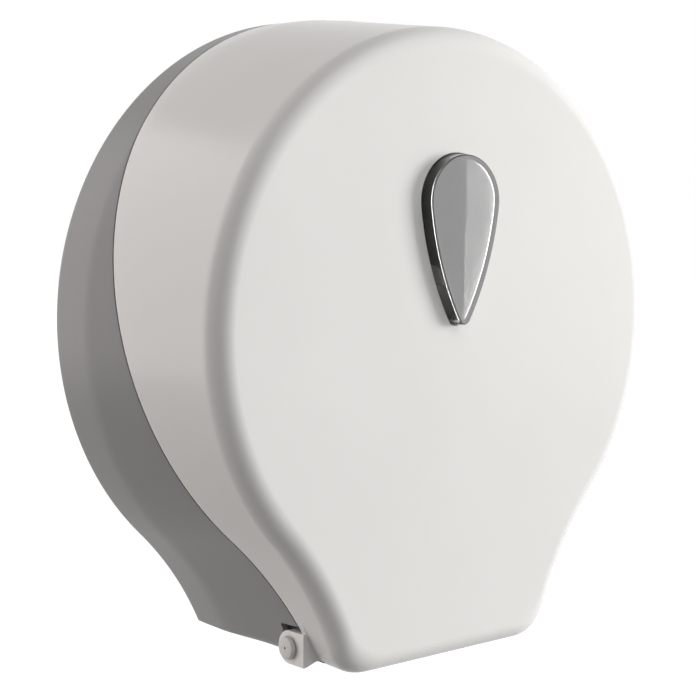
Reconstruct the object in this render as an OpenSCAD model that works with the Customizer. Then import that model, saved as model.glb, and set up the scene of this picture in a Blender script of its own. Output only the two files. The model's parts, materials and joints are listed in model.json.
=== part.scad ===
// Jumbo toilet roll dispenser: a wedge-shaped grey base that hangs on the wall,
// a white cover that tips forward on two pins at its bottom corners, a smoked
// window, a free-turning roll hub, serrated cutters and a cam lock on top.
// Millimetres. X is right, +Z is up, the wall is the plane y = 0 and the front
// faces -Y. The origin is where the roll axis meets the wall.

/* [Body] */
// Radius of the round body at the wall
body_r = 135; // [128:1:145]
// Depth from the wall to the front face
body_depth = 105; // [100:1:115]
// Wall thickness of the base
base_wall = 3; // [2.5:0.1:3.5]
// Wall thickness of the cover
cover_wall = 3; // [2.5:0.1:3.5]
// Distance the cover's sides lean inward from the wall to the front
cover_draft = 7.7; // [4:0.1:9]
// Depth at which the lean starts
draft_start = 24; // [10:1:35]
// Radius of the cover's front edge
front_edge_r = 10; // [7:0.5:12]

/* [Skirt] */
// Degrees below horizontal where the round runs into the skirt, at the wall
skirt_angle_back = 46; // [45:0.5:47]
// Degrees below horizontal where the round runs into the skirt, at the front
skirt_angle_front = 42; // [41:0.5:43]
// Radius of the skirt's hollow sides
skirt_r = 152; // [148:1:160]
// Drop of the bottom edge below the round body, at the wall
bottom_drop_back = 7.6; // [6.5:0.1:9]
// Drop of the bottom edge below the round body, at the front
bottom_drop_front = 13.8; // [12:0.1:15]
// Depth over which the bottom stays level before it drops
bottom_level = 45; // [40:1:55]
// Length of the rounding at the skirt's front corners
corner_len = 14; // [8:1:16]

/* [Seam] */
// Distance from the wall to the seam at the height of the roll axis
seam_depth = 45.5; // [44:0.5:47]
// Depth that the seam gains per millimetre down
seam_slope = 0.28; // [0.27:0.005:0.29]
// Gap between base and cover at the seam
seam_gap = 0.6; // [0.4:0.1:0.8]
// Reach of the base's lip under the cover
lip_reach = 4; // [3:0.5:5]
// Thickness of the lip
lip_wall = 1.8; // [1.5:0.1:2.2]
// Clearance between the lip and the cover
lip_gap = 0.6; // [0.4:0.1:0.8]
// Height at which the lip ends, measured from the roll axis
lip_bottom = -60; // [-70:1:-40]

/* [Hinge] */
// Distance of the hinge pins from the wall
hinge_depth = 75.5; // [74:0.5:77]
// Height of the hinge pins above the front's bottom edge
hinge_rise = 11.3; // [10.8:0.1:12.3]
// Radius of a hinge pin
pin_r = 3; // [2.5:0.1:3.2]
// Radius of the pin's button head
pin_head_r = 5; // [4.5:0.1:5.5]
// Height of the button head
pin_head_h = 2; // [1.5:0.1:2.5]
// Radius of the ears' rounded backs
ear_r = 7.2; // [6.5:0.1:7.5]
// Reach of the ears in front of the pin
ear_front = 10; // [9.5:0.1:10.5]
// Reach of the ears beyond the side of the body
ear_proud = 3.8; // [3:0.1:5]
// Thickness of an ear
ear_wall = 8; // [7:0.5:8.5]
// Gap between an ear and the base around it
ear_gap = 2.5; // [2.3:0.1:3]
// Length of the base's hinge lugs along the pin
lug_len = 10.5; // [8:0.5:12]

/* [Window] */
// Height of the window's top edge
window_top = 73; // [70:1:80]
// Height of the window's bottom tip
window_tip = -1; // [-5:1:5]
// Radius of the window's round top
window_r = 20; // [17:0.5:22]
// Radius of the window's bottom tip
window_tip_r = 4; // [3:0.5:5]
// Radius of the window's curved sides
window_side_r = 130; // [110:5:200]
// Height of the lens above the cover's front face
lens_proud = 6; // [4:0.5:7]
// Wall thickness of the lens
lens_wall = 2; // [1.6:0.1:2.4]
// Inward lean of the lens's walls
lens_draft = 1.2; // [0.8:0.1:1.6]
// Width of the lens's flange behind the cover
lens_flange = 4; // [3:0.5:5]
// Radius of the stakes that hold the lens
stake_r = 1.6; // [1.2:0.1:1.8]

/* [Outlet] */
// Width of the paper outlet
outlet_w = 88; // [80:1:92]
// Distance from the wall to the outlet's back edge
outlet_back = 10; // [8:1:14]
// Distance from the wall to the outlet's front edge
outlet_front = 96; // [94:0.5:97]
// Radius of the outlet's corners
outlet_corner = 6; // [4:1:8]
// Pitch of the cutter teeth
tooth_pitch = 3; // [2.5:0.25:4]
// Height of the cutter teeth
tooth_h = 2.6; // [2:0.1:3]
// Thickness of the cutter blades
blade_t = 1; // [0.8:0.1:1.2]
// Height of the ledges under the blades above the bottom edge, at the wall
ledge_rise = 4.4; // [4.2:0.1:4.6]

/* [Roll hub] */
// Radius of the fixed post that the hub turns on
post_r = 13; // [11:0.5:14]
// Radius of the post's flange
post_flange_r = 34; // [32:1:36]
// Thickness of the post's flange
post_flange_t = 3.5; // [3:0.25:4]
// Radius over the hub's fins, to suit the roll's core
fin_r = 27; // [24:0.5:28]
// Thickness of the hub's sleeve
sleeve_t = 2.4; // [2:0.1:3]
// Radius of the hub's disc behind the roll
hub_disc_r = 42; // [36:1:48]
// Number of fins around the hub
fin_count = 6; // [4:1:8]
// Gap between the post's cap and the cover's inside
cap_to_cover = 9; // [8:0.5:11]

/* [Lock] */
// Distance of the lock's axis from the wall
lock_depth = 26; // [25:0.5:27]
// Radius of the lock's barrel
barrel_r = 8; // [7:0.5:8]
// Radius of the lock's head
lock_head_r = 11; // [10:0.5:12]
// Radius of the turning plug
plug_r = 5.5; // [5:0.25:6]
// Length of the cam from the lock's axis to its tip
cam_len = 16; // [14:0.5:16.5]
// Width of the cam
cam_w = 8; // [6:0.5:9]

/* [Wall fixing] */
// Distance between the wall screws, across and up
fixing_pitch = 120; // [110:1:130]
// Radius of the wall screw holes
fixing_r = 2.75; // [2.25:0.25:3.25]
// Radius of the pads around the holes
fixing_pad_r = 9; // [8:0.5:11]
// Height of the ribs and pads on the back plate
rib_h = 3; // [2:0.5:3.5]
// Thickness of the ribs
rib_t = 2; // [1.5:0.25:2.5]

/* [Hidden] */
$fn = 64;

// Running clearance of a shaft in its bore, on the radius
run_fit = 0.05;
// Clearance of a screw or a pin that is held fast, on the radius
hold_fit = 0.02;
// Gap between faces that slide past each other
face_gap = 0.3;

// Segments along one side of the outline: round, skirt and corner
round_steps = 34;
skirt_steps = 8;
corner_steps = 5;
half_count = round_steps + skirt_steps + corner_steps + 1;
ring_count = 2 * half_count - 1;

// Room round a screw in the hole that it passes through, on the radius
pass_fit = 0.2;

edge_depth = body_depth - front_edge_r;
join_r = body_r + skirt_r;
bottom_back = body_r + bottom_drop_back;
bottom_front = body_r + bottom_drop_front;

// Lean of the sides, and height of the bottom edge, at depth d
function side_inset(d) = cover_draft * max(0, min(d, edge_depth) - draft_start)
    / (edge_depth - draft_start);
function bottom_at(d) = bottom_back + (bottom_front - bottom_back)
    * pow(max(0, d - bottom_level) / (body_depth - bottom_level), 1.5);
function skirt_angle(d) = skirt_angle_back
    + (skirt_angle_front - skirt_angle_back) * d / body_depth;
function corner_at(d) = 1.5 + corner_len * pow(d / body_depth, 2);
function seam_at(z) = seam_depth - seam_slope * z;
// Half width of the skirt at depth d and height z
function side_at(d, z) =
  let (
    a = skirt_angle(d),
    dz = z + join_r * sin(a),
    s = skirt_r + side_inset(d)
  )
  join_r * cos(a) - sqrt(s * s - dz * dz);

// Point k of the right half of the outline at depth d, from the top down to the
// bottom edge. The outline is drawn in by inset at the sides and by lift below.
function half_point(k, d, inset, lift) =
  let (
    a = skirt_angle(d),
    r = body_r - inset,
    s = skirt_r + inset,
    cx = join_r * cos(a),
    cz = -join_r * sin(a),
    floor_z = lift - bottom_at(d),
    end_a = 180 - asin((floor_z - cz) / s),
    len = corner_at(d),
    cut_a = end_a - len / s * 180 / PI,
    corner = [cx + s * cos(end_a), floor_z]
  )
  k <= round_steps
    ? let (t = 90 - (90 + a) * k / round_steps) [r * cos(t), r * sin(t)]
  : k <= round_steps + skirt_steps
    ? let (
        u = (k - round_steps) / skirt_steps,
        t = 180 - a + (cut_a - 180 + a) * u
      )
      [cx + s * cos(t), cz + s * sin(t)]
  : let (
      u = (k - round_steps - skirt_steps) / corner_steps,
      from = [cx + s * cos(cut_a), cz + s * sin(cut_a)],
      to = corner - [len, 0]
    )
    (1 - u) * (1 - u) * from + 2 * u * (1 - u) * corner + u * u * to;

// Point j of the whole outline, as a point in space at depth d
function rim_point(j, d, inset, lift) =
  let (
    right = j < half_count,
    p = half_point(right ? j : ring_count - j, d, inset, lift)
  )
  [right ? p[0] : -p[0], -d, p[1]];

// Depth of point j when a ring runs at share t of the way from back to front,
// where either end may follow the slanting seam
function from_seam(z, t, gap) = seam_at(z) + gap + t * (edge_depth - seam_at(z) - gap);
function to_seam(z, t, start) = start + t * (seam_at(z) - start);
function cover_depth(j, t, wall) =
  let (
    d0 = from_seam(rim_point(j, seam_depth, wall, wall)[2], t, seam_gap),
    d1 = from_seam(rim_point(j, d0, side_inset(d0) + wall, wall)[2], t, seam_gap)
  )
  from_seam(rim_point(j, d1, side_inset(d1) + wall, wall)[2], t, seam_gap);
function base_depth(j, t, wall, shift) =
  let (
    d0 = to_seam(rim_point(j, seam_depth, wall, wall)[2], t, wall) + shift,
    d1 = to_seam(rim_point(j, d0, side_inset(d0) + wall, wall)[2], t, wall) + shift
  )
  to_seam(rim_point(j, d1, side_inset(d1) + wall, wall)[2], t, wall) + shift;

function cover_ring(t, wall) = [
  for (j = [0 : ring_count - 1])
    let (d = cover_depth(j, t, wall)) rim_point(j, d, side_inset(d) + wall, wall)
];
function base_ring(t, wall, shift = 0) = [
  for (j = [0 : ring_count - 1])
    let (d = base_depth(j, t, wall, shift)) rim_point(j, d, side_inset(d) + wall, wall)
];
// Ring on the rounded front edge, at angle u of its quarter circle
function edge_ring(u, wall) = [
  for (j = [0 : ring_count - 1])
    let (
      r = front_edge_r - wall,
      d = edge_depth + r * sin(u),
      off = wall + r * (1 - cos(u))
    )
    rim_point(j, d, side_inset(d) + off, off)
];

// Solid skinned over rings of equal length, whose outer side runs towards the
// front. A closed one joins its last ring to its first, and an open one ends in
// fans about the two given centres.
module skin(rings, closed, first = [0, 0, 0], last = [0, 0, 0]) {
  n = len(rings[0]);
  m = len(rings);
  spans = closed ? m : m - 1;
  sides = [
    for (i = [0 : spans - 1], j = [0 : n - 1])
      let (
        a = i * n + j,
        b = i * n + (j + 1) % n,
        c = ((i + 1) % m) * n + (j + 1) % n,
        d = ((i + 1) % m) * n + j
      )
      each [[a, b, c], [a, c, d]]
  ];
  caps = closed ? [] : [
    for (j = [0 : n - 1])
      each [
        [(j + 1) % n, j, m * n],
        [(m - 1) * n + j, (m - 1) * n + (j + 1) % n, m * n + 1]
      ]
  ];
  points = concat([for (ring = rings) each ring], closed ? [] : [first, last]);
  polyhedron(points = points, faces = concat(sides, caps), convexity = 10);
}

// Turns a drawing in the X-Y plane to face the front, starting at depth d
module at_depth(d) {
  translate([0, -d, 0]) rotate([90, 0, 0]) children();
}

// Repeats a child on the right and, mirrored, on the left
module both_sides() {
  children();
  mirror([1, 0, 0]) children();
}

// Moves a child to the right-hand hinge axis, with its own Z along the pin
module at_hinge(x) {
  translate([x, -hinge_depth, hinge_z]) rotate([0, 90, 0]) children();
}

// Base

hinge_z = hinge_rise - bottom_front;
ledge_top = ledge_rise - bottom_back;
ear_outer = side_at(hinge_depth, hinge_z) + ear_proud;
ear_slack = 0.4;
fixing_at = fixing_pitch / 2;
post_seat = base_wall + rib_h;
screw_ring_r = (post_r + post_flange_r) / 2 + 2.5;
lug_outer = ear_outer - ear_wall - ear_slack;
lug_r = 7;
notch_r = ear_r + ear_gap;
ledge_inner = outlet_w / 2;
ledge_outer = lug_outer;
ledge_front = hinge_depth - notch_r;
keeper_x = cam_len + 2;
keeper_pad_w = 18;

module outlet_cut() {
  half = outlet_w / 2 - outlet_corner;
  back = outlet_back + outlet_corner;
  front = outlet_front - outlet_corner;
  translate([0, 0, -bottom_front - 5])
    linear_extrude(bottom_front + 5 + ledge_top + 8) {
      translate([-half, -outlet_front]) square([2 * half, outlet_front - outlet_back]);
      translate([-outlet_w / 2, -front]) square([outlet_w, front - back]);
      for (x = [-half, half], y = [-front, -back])
        translate([x, y]) circle(outlet_corner);
    }
}

module seam_lip() {
  outer = cover_wall + lip_gap;
  inner = outer + lip_wall;
  root = base_wall - 0.8;
  relief = lock_boss_r + 2;
  difference() {
    skin([
      base_ring(1, root, -6), base_ring(1, root, -0.4), base_ring(1, outer, -0.4),
      base_ring(1, outer, lip_reach), base_ring(1, inner, lip_reach), base_ring(1, inner, -4.5)
    ], true);
    translate([-body_r, -body_depth, lip_bottom - body_r])
      cube([2 * body_r, 2 * body_depth, body_r]);
    translate([-body_r, -base_wall / 2, 0]) cube([2 * body_r, 20, body_r]);
    translate([-relief, -body_depth, body_r / 2]) cube([2 * relief, body_depth + 1, body_r]);
  }
}

module hinge_lug() {
  at_hinge(lug_outer - lug_len) cylinder(h = lug_len, r = lug_r);
  translate([lug_outer - lug_len, -hinge_depth - lug_r, -bottom_at(hinge_depth) + 1])
    cube([lug_len, 2 * lug_r, hinge_z + bottom_at(hinge_depth) - 1]);
}

module ear_notch() {
  at_hinge(lug_outer) cylinder(h = 20, r = notch_r);
  translate([lug_outer, -body_depth, hinge_z])
    cube([20, body_depth - hinge_depth, notch_r]);
  translate([lug_outer, -body_depth, -bottom_front - 5])
    cube([20, body_depth - hinge_depth + notch_r, bottom_front + 5 + hinge_z]);
}

// Clears the front end of the base's floor for the cover to swing round
module lug_front_trim() {
  translate([-lug_outer - 1, -body_depth, -bottom_front - 5])
    cube([2 * lug_outer + 2, body_depth - hinge_depth - lug_r - 1.5, 20]);
}

module blade_ledge() {
  translate([ledge_inner, -ledge_front, -bottom_back + 1])
    cube([ledge_outer - ledge_inner, ledge_front - base_wall / 2, ledge_top + bottom_back - 1]);
}

module back_ribs() {
  at_depth(base_wall - 0.5) {
    for (a = [0 : 45 : 315])
      rotate(a) translate([post_flange_r, -rib_t / 2, 0])
        cube([body_r * 0.8 - post_flange_r, rib_t, rib_h + 0.5]);
    difference() {
      cylinder(h = rib_h + 0.5, r = body_r * 0.5 + rib_t);
      translate([0, 0, -1]) cylinder(h = rib_h + 3, r = body_r * 0.5);
    }
    cylinder(h = rib_h + 0.5, r = post_flange_r + 2);
    for (x = [-fixing_at, fixing_at], z = [-fixing_at, fixing_at])
      translate([x, z, 0]) cylinder(h = rib_h + 0.5, r = fixing_pad_r);
  }
}

module keeper_pad() {
  translate([keeper_x, -base_wall - rib_h, keeper_z - keeper_pad_w / 2])
    cube([keeper_pad_w, rib_h + 1, keeper_pad_w]);
}

module rear_base() {
  color([0.62, 0.62, 0.63])
  difference() {
    union() {
      skin([
        base_ring_back(0), base_ring(0.5, 0), base_ring(1, 0),
        base_ring(1, base_wall), base_ring(0.5, base_wall), base_ring(0, base_wall)
      ], false, [0, 0, 0], [0, -base_wall, 0]);
      seam_lip();
      back_ribs();
      keeper_pad();
      both_sides() {
        hinge_lug();
        blade_ledge();
      }
    }
    outlet_cut();
    lug_front_trim();
    both_sides() {
      ear_notch();
      at_hinge(lug_outer - lug_len + 1.5) cylinder(h = lug_len, r = pin_r + hold_fit);
      blade_screw_places() translate([0, 0, -3.2])
        cylinder(h = 5, r = blade_screw_r + hold_fit);
    }
    for (x = [-fixing_at, fixing_at], z = [-fixing_at, fixing_at])
      translate([x, 0, z]) at_depth(-1) cylinder(h = 20, r = fixing_r);
    spindle_screw_places() translate([0, 0, -post_screw_len - 0.2])
      cylinder(h = 6, r = post_screw_r + hold_fit);
    keeper_screw_places() translate([0, 0, -4]) cylinder(h = 6, r = keeper_screw_r + hold_fit);
  }
}
function base_ring_back(wall) = [
  for (j = [0 : ring_count - 1]) rim_point(j, 0, wall, wall)
];

// Cover

lock_head_z = body_r - side_inset(lock_depth) - 1;
lock_seat_z = lock_head_z - 1.6;
boss_bottom = lock_seat_z - 8;
lock_boss_r = barrel_r + 6;
nut_r = barrel_r + 4.5;
nut_h = 3;
barrel_bottom = boss_bottom - nut_h - 3;
cam_t = 2;
cam_top = barrel_bottom - face_gap;
keeper_z = barrel_bottom - cam_t;
lens_seat = body_depth - cover_wall;
window_mid = window_top - window_r;
tip_mid = window_tip + window_tip_r;

// Teardrop outline: round top and tip, joined by slightly curved sides, drawn
// in by inset. The side arcs touch both rounds from outside.
function side_centre() =
  let (
    a = window_side_r - window_r,
    b = window_side_r - window_tip_r,
    h = window_mid - tip_mid,
    z = (b * b - a * a - h * h) / (2 * h)
  )
  [-sqrt(a * a - z * z), window_mid + z];
function arc(c, r, from, to, steps) = [
  for (i = [0 : steps]) let (t = from + (to - from) * i / steps) c + r * [cos(t), sin(t)]
];
function teardrop_half(inset) =
  let (
    c = side_centre(),
    top_a = atan2(window_mid - c[1], -c[0]),
    tip_a = atan2(tip_mid - c[1], -c[0])
  )
  concat(
    arc([0, window_mid], window_r - inset, 90, top_a, 10),
    arc(c, window_side_r - inset, top_a - 1.6, tip_a + 1.2, 8),
    arc([0, tip_mid], window_tip_r - inset, tip_a, -90, 5)
  );
function teardrop(inset) =
  let (right = teardrop_half(inset), n = len(right))
  concat(right, [for (i = [n - 2 : -1 : 1]) [-right[i][0], right[i][1]]]);
function lens_ring(d, inset) = [for (p = teardrop(inset)) [p[0], -d, p[1]]];

stake_places = [
  [0, window_top + lens_flange + 1.5],
  [-window_r - lens_flange - 1.5, window_mid],
  [window_r + lens_flange + 1.5, window_mid],
  [0, window_tip - lens_flange - 1.5]
];

module cover_ear() {
  back = hinge_depth - ear_r;
  inner = ear_outer - ear_wall;
  at_hinge(inner) cylinder(h = ear_wall, r = ear_r);
  translate([inner, -hinge_depth - ear_front, hinge_z - ear_r])
    cube([ear_wall, ear_front, 2 * ear_r]);
}

// Root of an ear inside the cover's wall, and a gusset in front of the lug
module ear_root() {
  inner = ear_outer - ear_wall;
  root_t = 1.8;
  translate([inner, -hinge_depth - ear_front - 7, hinge_z - 0.5])
    cube([root_t, 8, ear_r]);
  at_depth(outlet_front - 6.5) linear_extrude(3)
    polygon([
      [ledge_inner + 6, 1 - bottom_front + 3], [ledge_inner + 10, 1 - bottom_front + 3],
      [inner - 0.5, hinge_z - 2.5], [inner + 0.5, hinge_z + ear_r],
      [inner - 3, hinge_z + ear_r], [ledge_inner + 6, hinge_z - 1]
    ]);
}

module floor_trim() {
  clear = 13.2;
  translate([-lug_outer - 0.2, -hinge_depth - clear, -bottom_front - 5])
    cube([2 * lug_outer + 0.4, clear, 20]);
}

module lens_stakes() {
  for (p = stake_places)
    translate([p[0], 0, p[1]]) {
      at_depth(lens_seat - lens_wall - 0.5) cylinder(h = lens_wall + 1.5, r = stake_r);
      at_depth(lens_seat - lens_wall - 1.7) cylinder(h = 1.4, r = stake_r + 1);
    }
}

module front_cover() {
  inner_edge = [for (u = [90 : -18 : 18]) edge_ring(u, cover_wall)];
  outer_edge = [for (u = [15 : 15 : 90]) edge_ring(u, 0)];
  color([0.93, 0.93, 0.92])
  difference() {
    union() {
      difference() {
        skin(
          concat(
            inner_edge,
            [for (t = [1, 0.67, 0.33, 0]) cover_ring(t, cover_wall)],
            [for (t = [0, 0.25, 0.5, 0.75, 1]) cover_ring(t, 0)],
            outer_edge
          ),
          false, [0, -lens_seat, 0], [0, -body_depth, 0]
        );
        floor_trim();
      }
      both_sides() {
        cover_ear();
        ear_root();
      }
      translate([0, -lock_depth, boss_bottom])
        cylinder(h = lock_seat_z - boss_bottom + 1, r = lock_boss_r);
      lens_stakes();
    }
    outlet_cut();
    at_depth(lens_seat - 5) linear_extrude(20) polygon(teardrop(-0.2));
    translate([0, -lock_depth, lock_seat_z]) cylinder(h = 20, r = lock_head_r + 0.5);
    translate([0, -lock_depth, boss_bottom - 1])
      cylinder(h = lock_head_z - boss_bottom + 2, r = barrel_r + 0.1);
    both_sides()
      at_hinge(ear_outer - ear_wall - 5) cylinder(h = ear_wall + 10, r = pin_r + run_fit);
  }
}

module window_lens() {
  back = lens_seat - lens_wall;
  face = body_depth + lens_proud;
  color([0.30, 0.30, 0.32, 0.55]) {
    skin([
      lens_ring(face - lens_wall, lens_draft + lens_wall), lens_ring(back, lens_wall),
      lens_ring(back, 0), lens_ring(lens_seat, 0), lens_ring(face - 1, lens_draft),
      lens_ring(face - 0.3, lens_draft + 0.3), lens_ring(face, lens_draft + 1)
    ], false, [0, -face + lens_wall, window_mid - 10], [0, -face, window_mid - 10]);
    at_depth(back) linear_extrude(lens_wall) difference() {
      union() {
        polygon(teardrop(-lens_flange));
        for (p = stake_places) translate(p) circle(stake_r + 2.4);
      }
      polygon(teardrop(lens_wall / 2));
      for (p = stake_places) translate(p) circle(stake_r + 0.1);
    }
  }
}

// Hinge pin on the right-hand side: shank, and a button head outside the ear
module hinge_pin() {
  shank = ear_outer + face_gap - (lug_outer - lug_len + 2);
  color([0.75, 0.74, 0.73])
  at_hinge(ear_outer + face_gap)
    rotate_extrude()
      polygon([
        [0, -shank], [pin_r - 0.5, -shank], [pin_r, -shank + 0.5], [pin_r, 0],
        [pin_head_r, 0], [pin_head_r, pin_head_h * 0.5],
        [pin_head_r - 0.25, pin_head_h * 0.78], [pin_head_r - 0.9, pin_head_h],
        [0, pin_head_h]
      ]);
}
module hinge_pin_right() { hinge_pin(); }
module hinge_pin_left() { mirror([1, 0, 0]) hinge_pin(); }

// Roll hub

washer_t = 1.5;
post_top = post_seat + post_flange_t;
hub_back = post_top + washer_t + face_gap;
cap_t = 3;
cap_back = body_depth - cover_wall - cap_to_cover - cap_t;
hub_front = cap_back - face_gap;
hub_disc_t = 2.4;
fin_t = 3;
post_screw_r = 2;
post_screw_len = 4.3;
post_screw_head_h = 2;
sleeve_r = post_r + run_fit + sleeve_t;

module spindle_screw_places() {
  for (a = [45 : 90 : 315])
    rotate([0, a, 0]) translate([screw_ring_r, 0, 0]) at_depth(post_seat) children();
}

module spindle_post() {
  color([0.62, 0.62, 0.63])
  difference() {
    union() {
      at_depth(post_seat) cylinder(h = post_flange_t, r = post_flange_r);
      at_depth(post_seat) cylinder(h = cap_back - post_seat, r = post_r);
    }
    at_depth(post_seat - 1) cylinder(h = cap_back - post_seat - 9, r = post_r - 3);
    at_depth(cap_back - 12) cylinder(h = 15, r = post_screw_r + hold_fit);
    spindle_screw_places() {
      translate([0, 0, -1]) cylinder(h = post_flange_t + 5, r = post_screw_r + pass_fit);
      translate([0, 0, post_flange_t - post_screw_head_h - 0.05])
        cylinder(h = post_screw_head_h + 0.1, r1 = post_screw_r + pass_fit, r2 = 2 * post_screw_r + 0.3);
    }
  }
}

module spindle_screws() {
  face = post_flange_t - 0.05;
  color([0.70, 0.70, 0.72])
  spindle_screw_places()
    rotate_extrude()
      polygon([
        [0, -post_screw_len], [post_screw_r * 0.6, -post_screw_len],
        [post_screw_r, -post_screw_len + 1.1], [post_screw_r, face - post_screw_head_h],
        [2 * post_screw_r, face], [0, face]
      ]);
}

module friction_washer() {
  color([0.25, 0.25, 0.26])
  at_depth(post_top) difference() {
    cylinder(h = washer_t, r = post_r + 6);
    translate([0, 0, -1]) cylinder(h = washer_t + 2, r = post_r + 0.1);
  }
}

module core_hub() {
  taper = 8;
  color([0.93, 0.93, 0.92])
  difference() {
    union() {
      at_depth(hub_back) cylinder(h = hub_front - hub_back, r = sleeve_r);
      at_depth(hub_back) cylinder(h = hub_disc_t, r = hub_disc_r);
      for (i = [0 : fin_count - 1])
        rotate([0, 360 * i / fin_count, 0]) translate([0, 0, -fin_t / 2])
          linear_extrude(fin_t)
            polygon([
              [post_r + 1, -hub_back], [fin_r, -hub_back], [fin_r, -hub_front + taper + 2],
              [fin_r - taper, -hub_front], [post_r + 1, -hub_front]
            ]);
    }
    at_depth(hub_back - 1) cylinder(h = hub_front, r = post_r + run_fit);
    for (i = [0 : fin_count - 1])
      rotate([0, 360 * (i + 0.5) / fin_count, 0])
        translate([(fin_r + hub_disc_r) / 2, 0, 0]) at_depth(hub_back - 1)
          cylinder(h = hub_disc_t + 2, r = 4);
  }
}

module hub_cap() {
  color([0.62, 0.62, 0.63])
  at_depth(cap_back) difference() {
    rotate_extrude()
      polygon([
        [0, 0], [post_r + 4, 0], [post_r + 4, cap_t - 1], [post_r + 3, cap_t], [0, cap_t]
      ]);
    translate([0, 0, -1]) cylinder(h = cap_t + 2, r = post_screw_r + pass_fit);
  }
}

module pan_screw(shank_r, shank_h, head_r, head_h) {
  rotate_extrude()
    polygon([
      [0, -shank_h], [shank_r * 0.6, -shank_h], [shank_r, -shank_h + 1], [shank_r, 0],
      [head_r, 0], [head_r, head_h * 0.5], [head_r * 0.8, head_h * 0.88],
      [head_r * 0.45, head_h], [0, head_h]
    ]);
}

module hub_cap_screw() {
  color([0.70, 0.70, 0.72]) at_depth(cap_back + cap_t) 
    pan_screw(post_screw_r, cap_t + 10, 2 * post_screw_r, 2.4);
}

// Cutters

blade_screw_r = 1.6;

module blade_screw_places() {
  for (d = [outlet_back + 12, ledge_front - 10])
    translate([(ledge_inner + ledge_outer) / 2 + 1, -d, ledge_top]) children();
}

module cutter_blade() {
  front = hinge_depth + lug_r;
  narrow = lug_outer - lug_len - 0.5;
  root = ledge_inner + 0.2 * tooth_pitch;
  teeth = floor((front - outlet_back - 2) / tooth_pitch);
  start = front - teeth * tooth_pitch;
  edge = [
    for (i = [0 : teeth - 1])
      each [
        [root, -front + i * tooth_pitch],
        [root - tooth_h, -front + (i + 0.5) * tooth_pitch]
      ]
  ];
  color([0.78, 0.79, 0.80])
  difference() {
    translate([0, 0, ledge_top])
      linear_extrude(blade_t)
        polygon(concat(edge, [
          [root, -start], [ledge_outer - 1, -start],
          [ledge_outer - 1, -ledge_front + 0.5], [narrow, -ledge_front + 0.5],
          [narrow, -front]
        ]));
    blade_screw_places() translate([0, 0, -1])
      cylinder(h = blade_t + 2, r = blade_screw_r + pass_fit);
  }
}
module cutter_blade_right() { cutter_blade(); }
module cutter_blade_left() { mirror([1, 0, 0]) cutter_blade(); }

module blade_screws() {
  color([0.70, 0.70, 0.72])
  both_sides()
    blade_screw_places() translate([0, 0, blade_t])
      pan_screw(blade_screw_r, blade_t + 3, 2 * blade_screw_r, 1.8);
}

// Lock

plug_square = 5;
cam_screw_r = 1.5;
keeper_screw_r = 1.75;

module lock_barrel() {
  color([0.80, 0.80, 0.82])
  translate([0, -lock_depth, 0]) difference() {
    union() {
      translate([0, 0, barrel_bottom]) cylinder(h = lock_head_z - barrel_bottom, r = barrel_r);
      translate([0, 0, lock_seat_z])
        cylinder(h = lock_head_z - lock_seat_z, r1 = lock_head_r, r2 = lock_head_r - 0.6);
    }
    translate([0, 0, barrel_bottom - 1])
      cylinder(h = lock_head_z - barrel_bottom + 2, r = plug_r + run_fit);
  }
}

module lock_nut() {
  color([0.70, 0.70, 0.72])
  translate([0, -lock_depth, boss_bottom - nut_h]) difference() {
    cylinder(h = nut_h, r = nut_r, $fn = 6);
    translate([0, 0, -1]) cylinder(h = nut_h + 2, r = barrel_r + hold_fit);
  }
}

module lock_plug() {
  color([0.72, 0.66, 0.42])
  translate([0, -lock_depth, 0]) difference() {
    union() {
      translate([0, 0, cam_top]) cylinder(h = lock_head_z - 0.2 - cam_top, r = plug_r);
      translate([-plug_square / 2, -plug_square / 2, cam_top - cam_t])
        cube([plug_square, plug_square, cam_t + 1]);
    }
    translate([-1, -plug_r * 0.65, lock_head_z - 6]) cube([2, plug_r * 1.3, 10]);
    translate([0, 0, cam_top - cam_t - 1]) cylinder(h = 8, r = cam_screw_r + hold_fit);
  }
}

module lock_cam() {
  square = plug_square + 2 * run_fit;
  color([0.70, 0.70, 0.72])
  translate([0, -lock_depth, cam_top - cam_t]) difference() {
    union() {
      cylinder(h = cam_t, r = plug_r + 1);
      translate([-cam_w / 2, 0, 0]) cube([cam_w, cam_len - cam_w / 2, cam_t]);
      translate([0, cam_len - cam_w / 2, 0]) cylinder(h = cam_t, r = cam_w / 2);
    }
    translate([-square / 2, -square / 2, -1]) cube([square, square, cam_t + 2]);
  }
}

module lock_cam_screw() {
  color([0.70, 0.70, 0.72])
  translate([0, -lock_depth, cam_top - cam_t])
    mirror([0, 0, 1]) pan_screw(cam_screw_r, 6, 4.5, 2);
}

// Keeper: a bent strip whose hooked end the cam turns in behind
module lock_keeper() {
  front = lock_depth + cam_w / 2 + 1;
  t = 2;
  h = 9;
  back = base_wall + rib_h;
  color([0.70, 0.70, 0.72])
  difference() {
    translate([0, 0, keeper_z - h / 2])
      linear_extrude(h)
        polygon([
          [keeper_x + keeper_pad_w - 1, -back], [keeper_x + 1.5, -back],
          [keeper_x, -back - 1.5], [keeper_x, -front],
          [keeper_x - 8, -front], [keeper_x - 8, -front - t],
          [keeper_x + 0.5, -front - t], [keeper_x + t, -front - t + 1.5],
          [keeper_x + t, -back - t], [keeper_x + keeper_pad_w - 1, -back - t]
        ]);
    keeper_screw_places() translate([0, 0, -1]) cylinder(h = t + 2, r = keeper_screw_r + pass_fit);
  }
}

module keeper_screw_places() {
  for (x = [keeper_x + 6.5, keeper_x + keeper_pad_w - 4.5])
    translate([x, 0, keeper_z]) at_depth(base_wall + rib_h) children();
}

module keeper_screws() {
  color([0.70, 0.70, 0.72])
  keeper_screw_places() translate([0, 0, 2])
    pan_screw(keeper_screw_r, 2 + rib_h + 0.6, keeper_screw_r * 1.5, 1.8);
}

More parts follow.
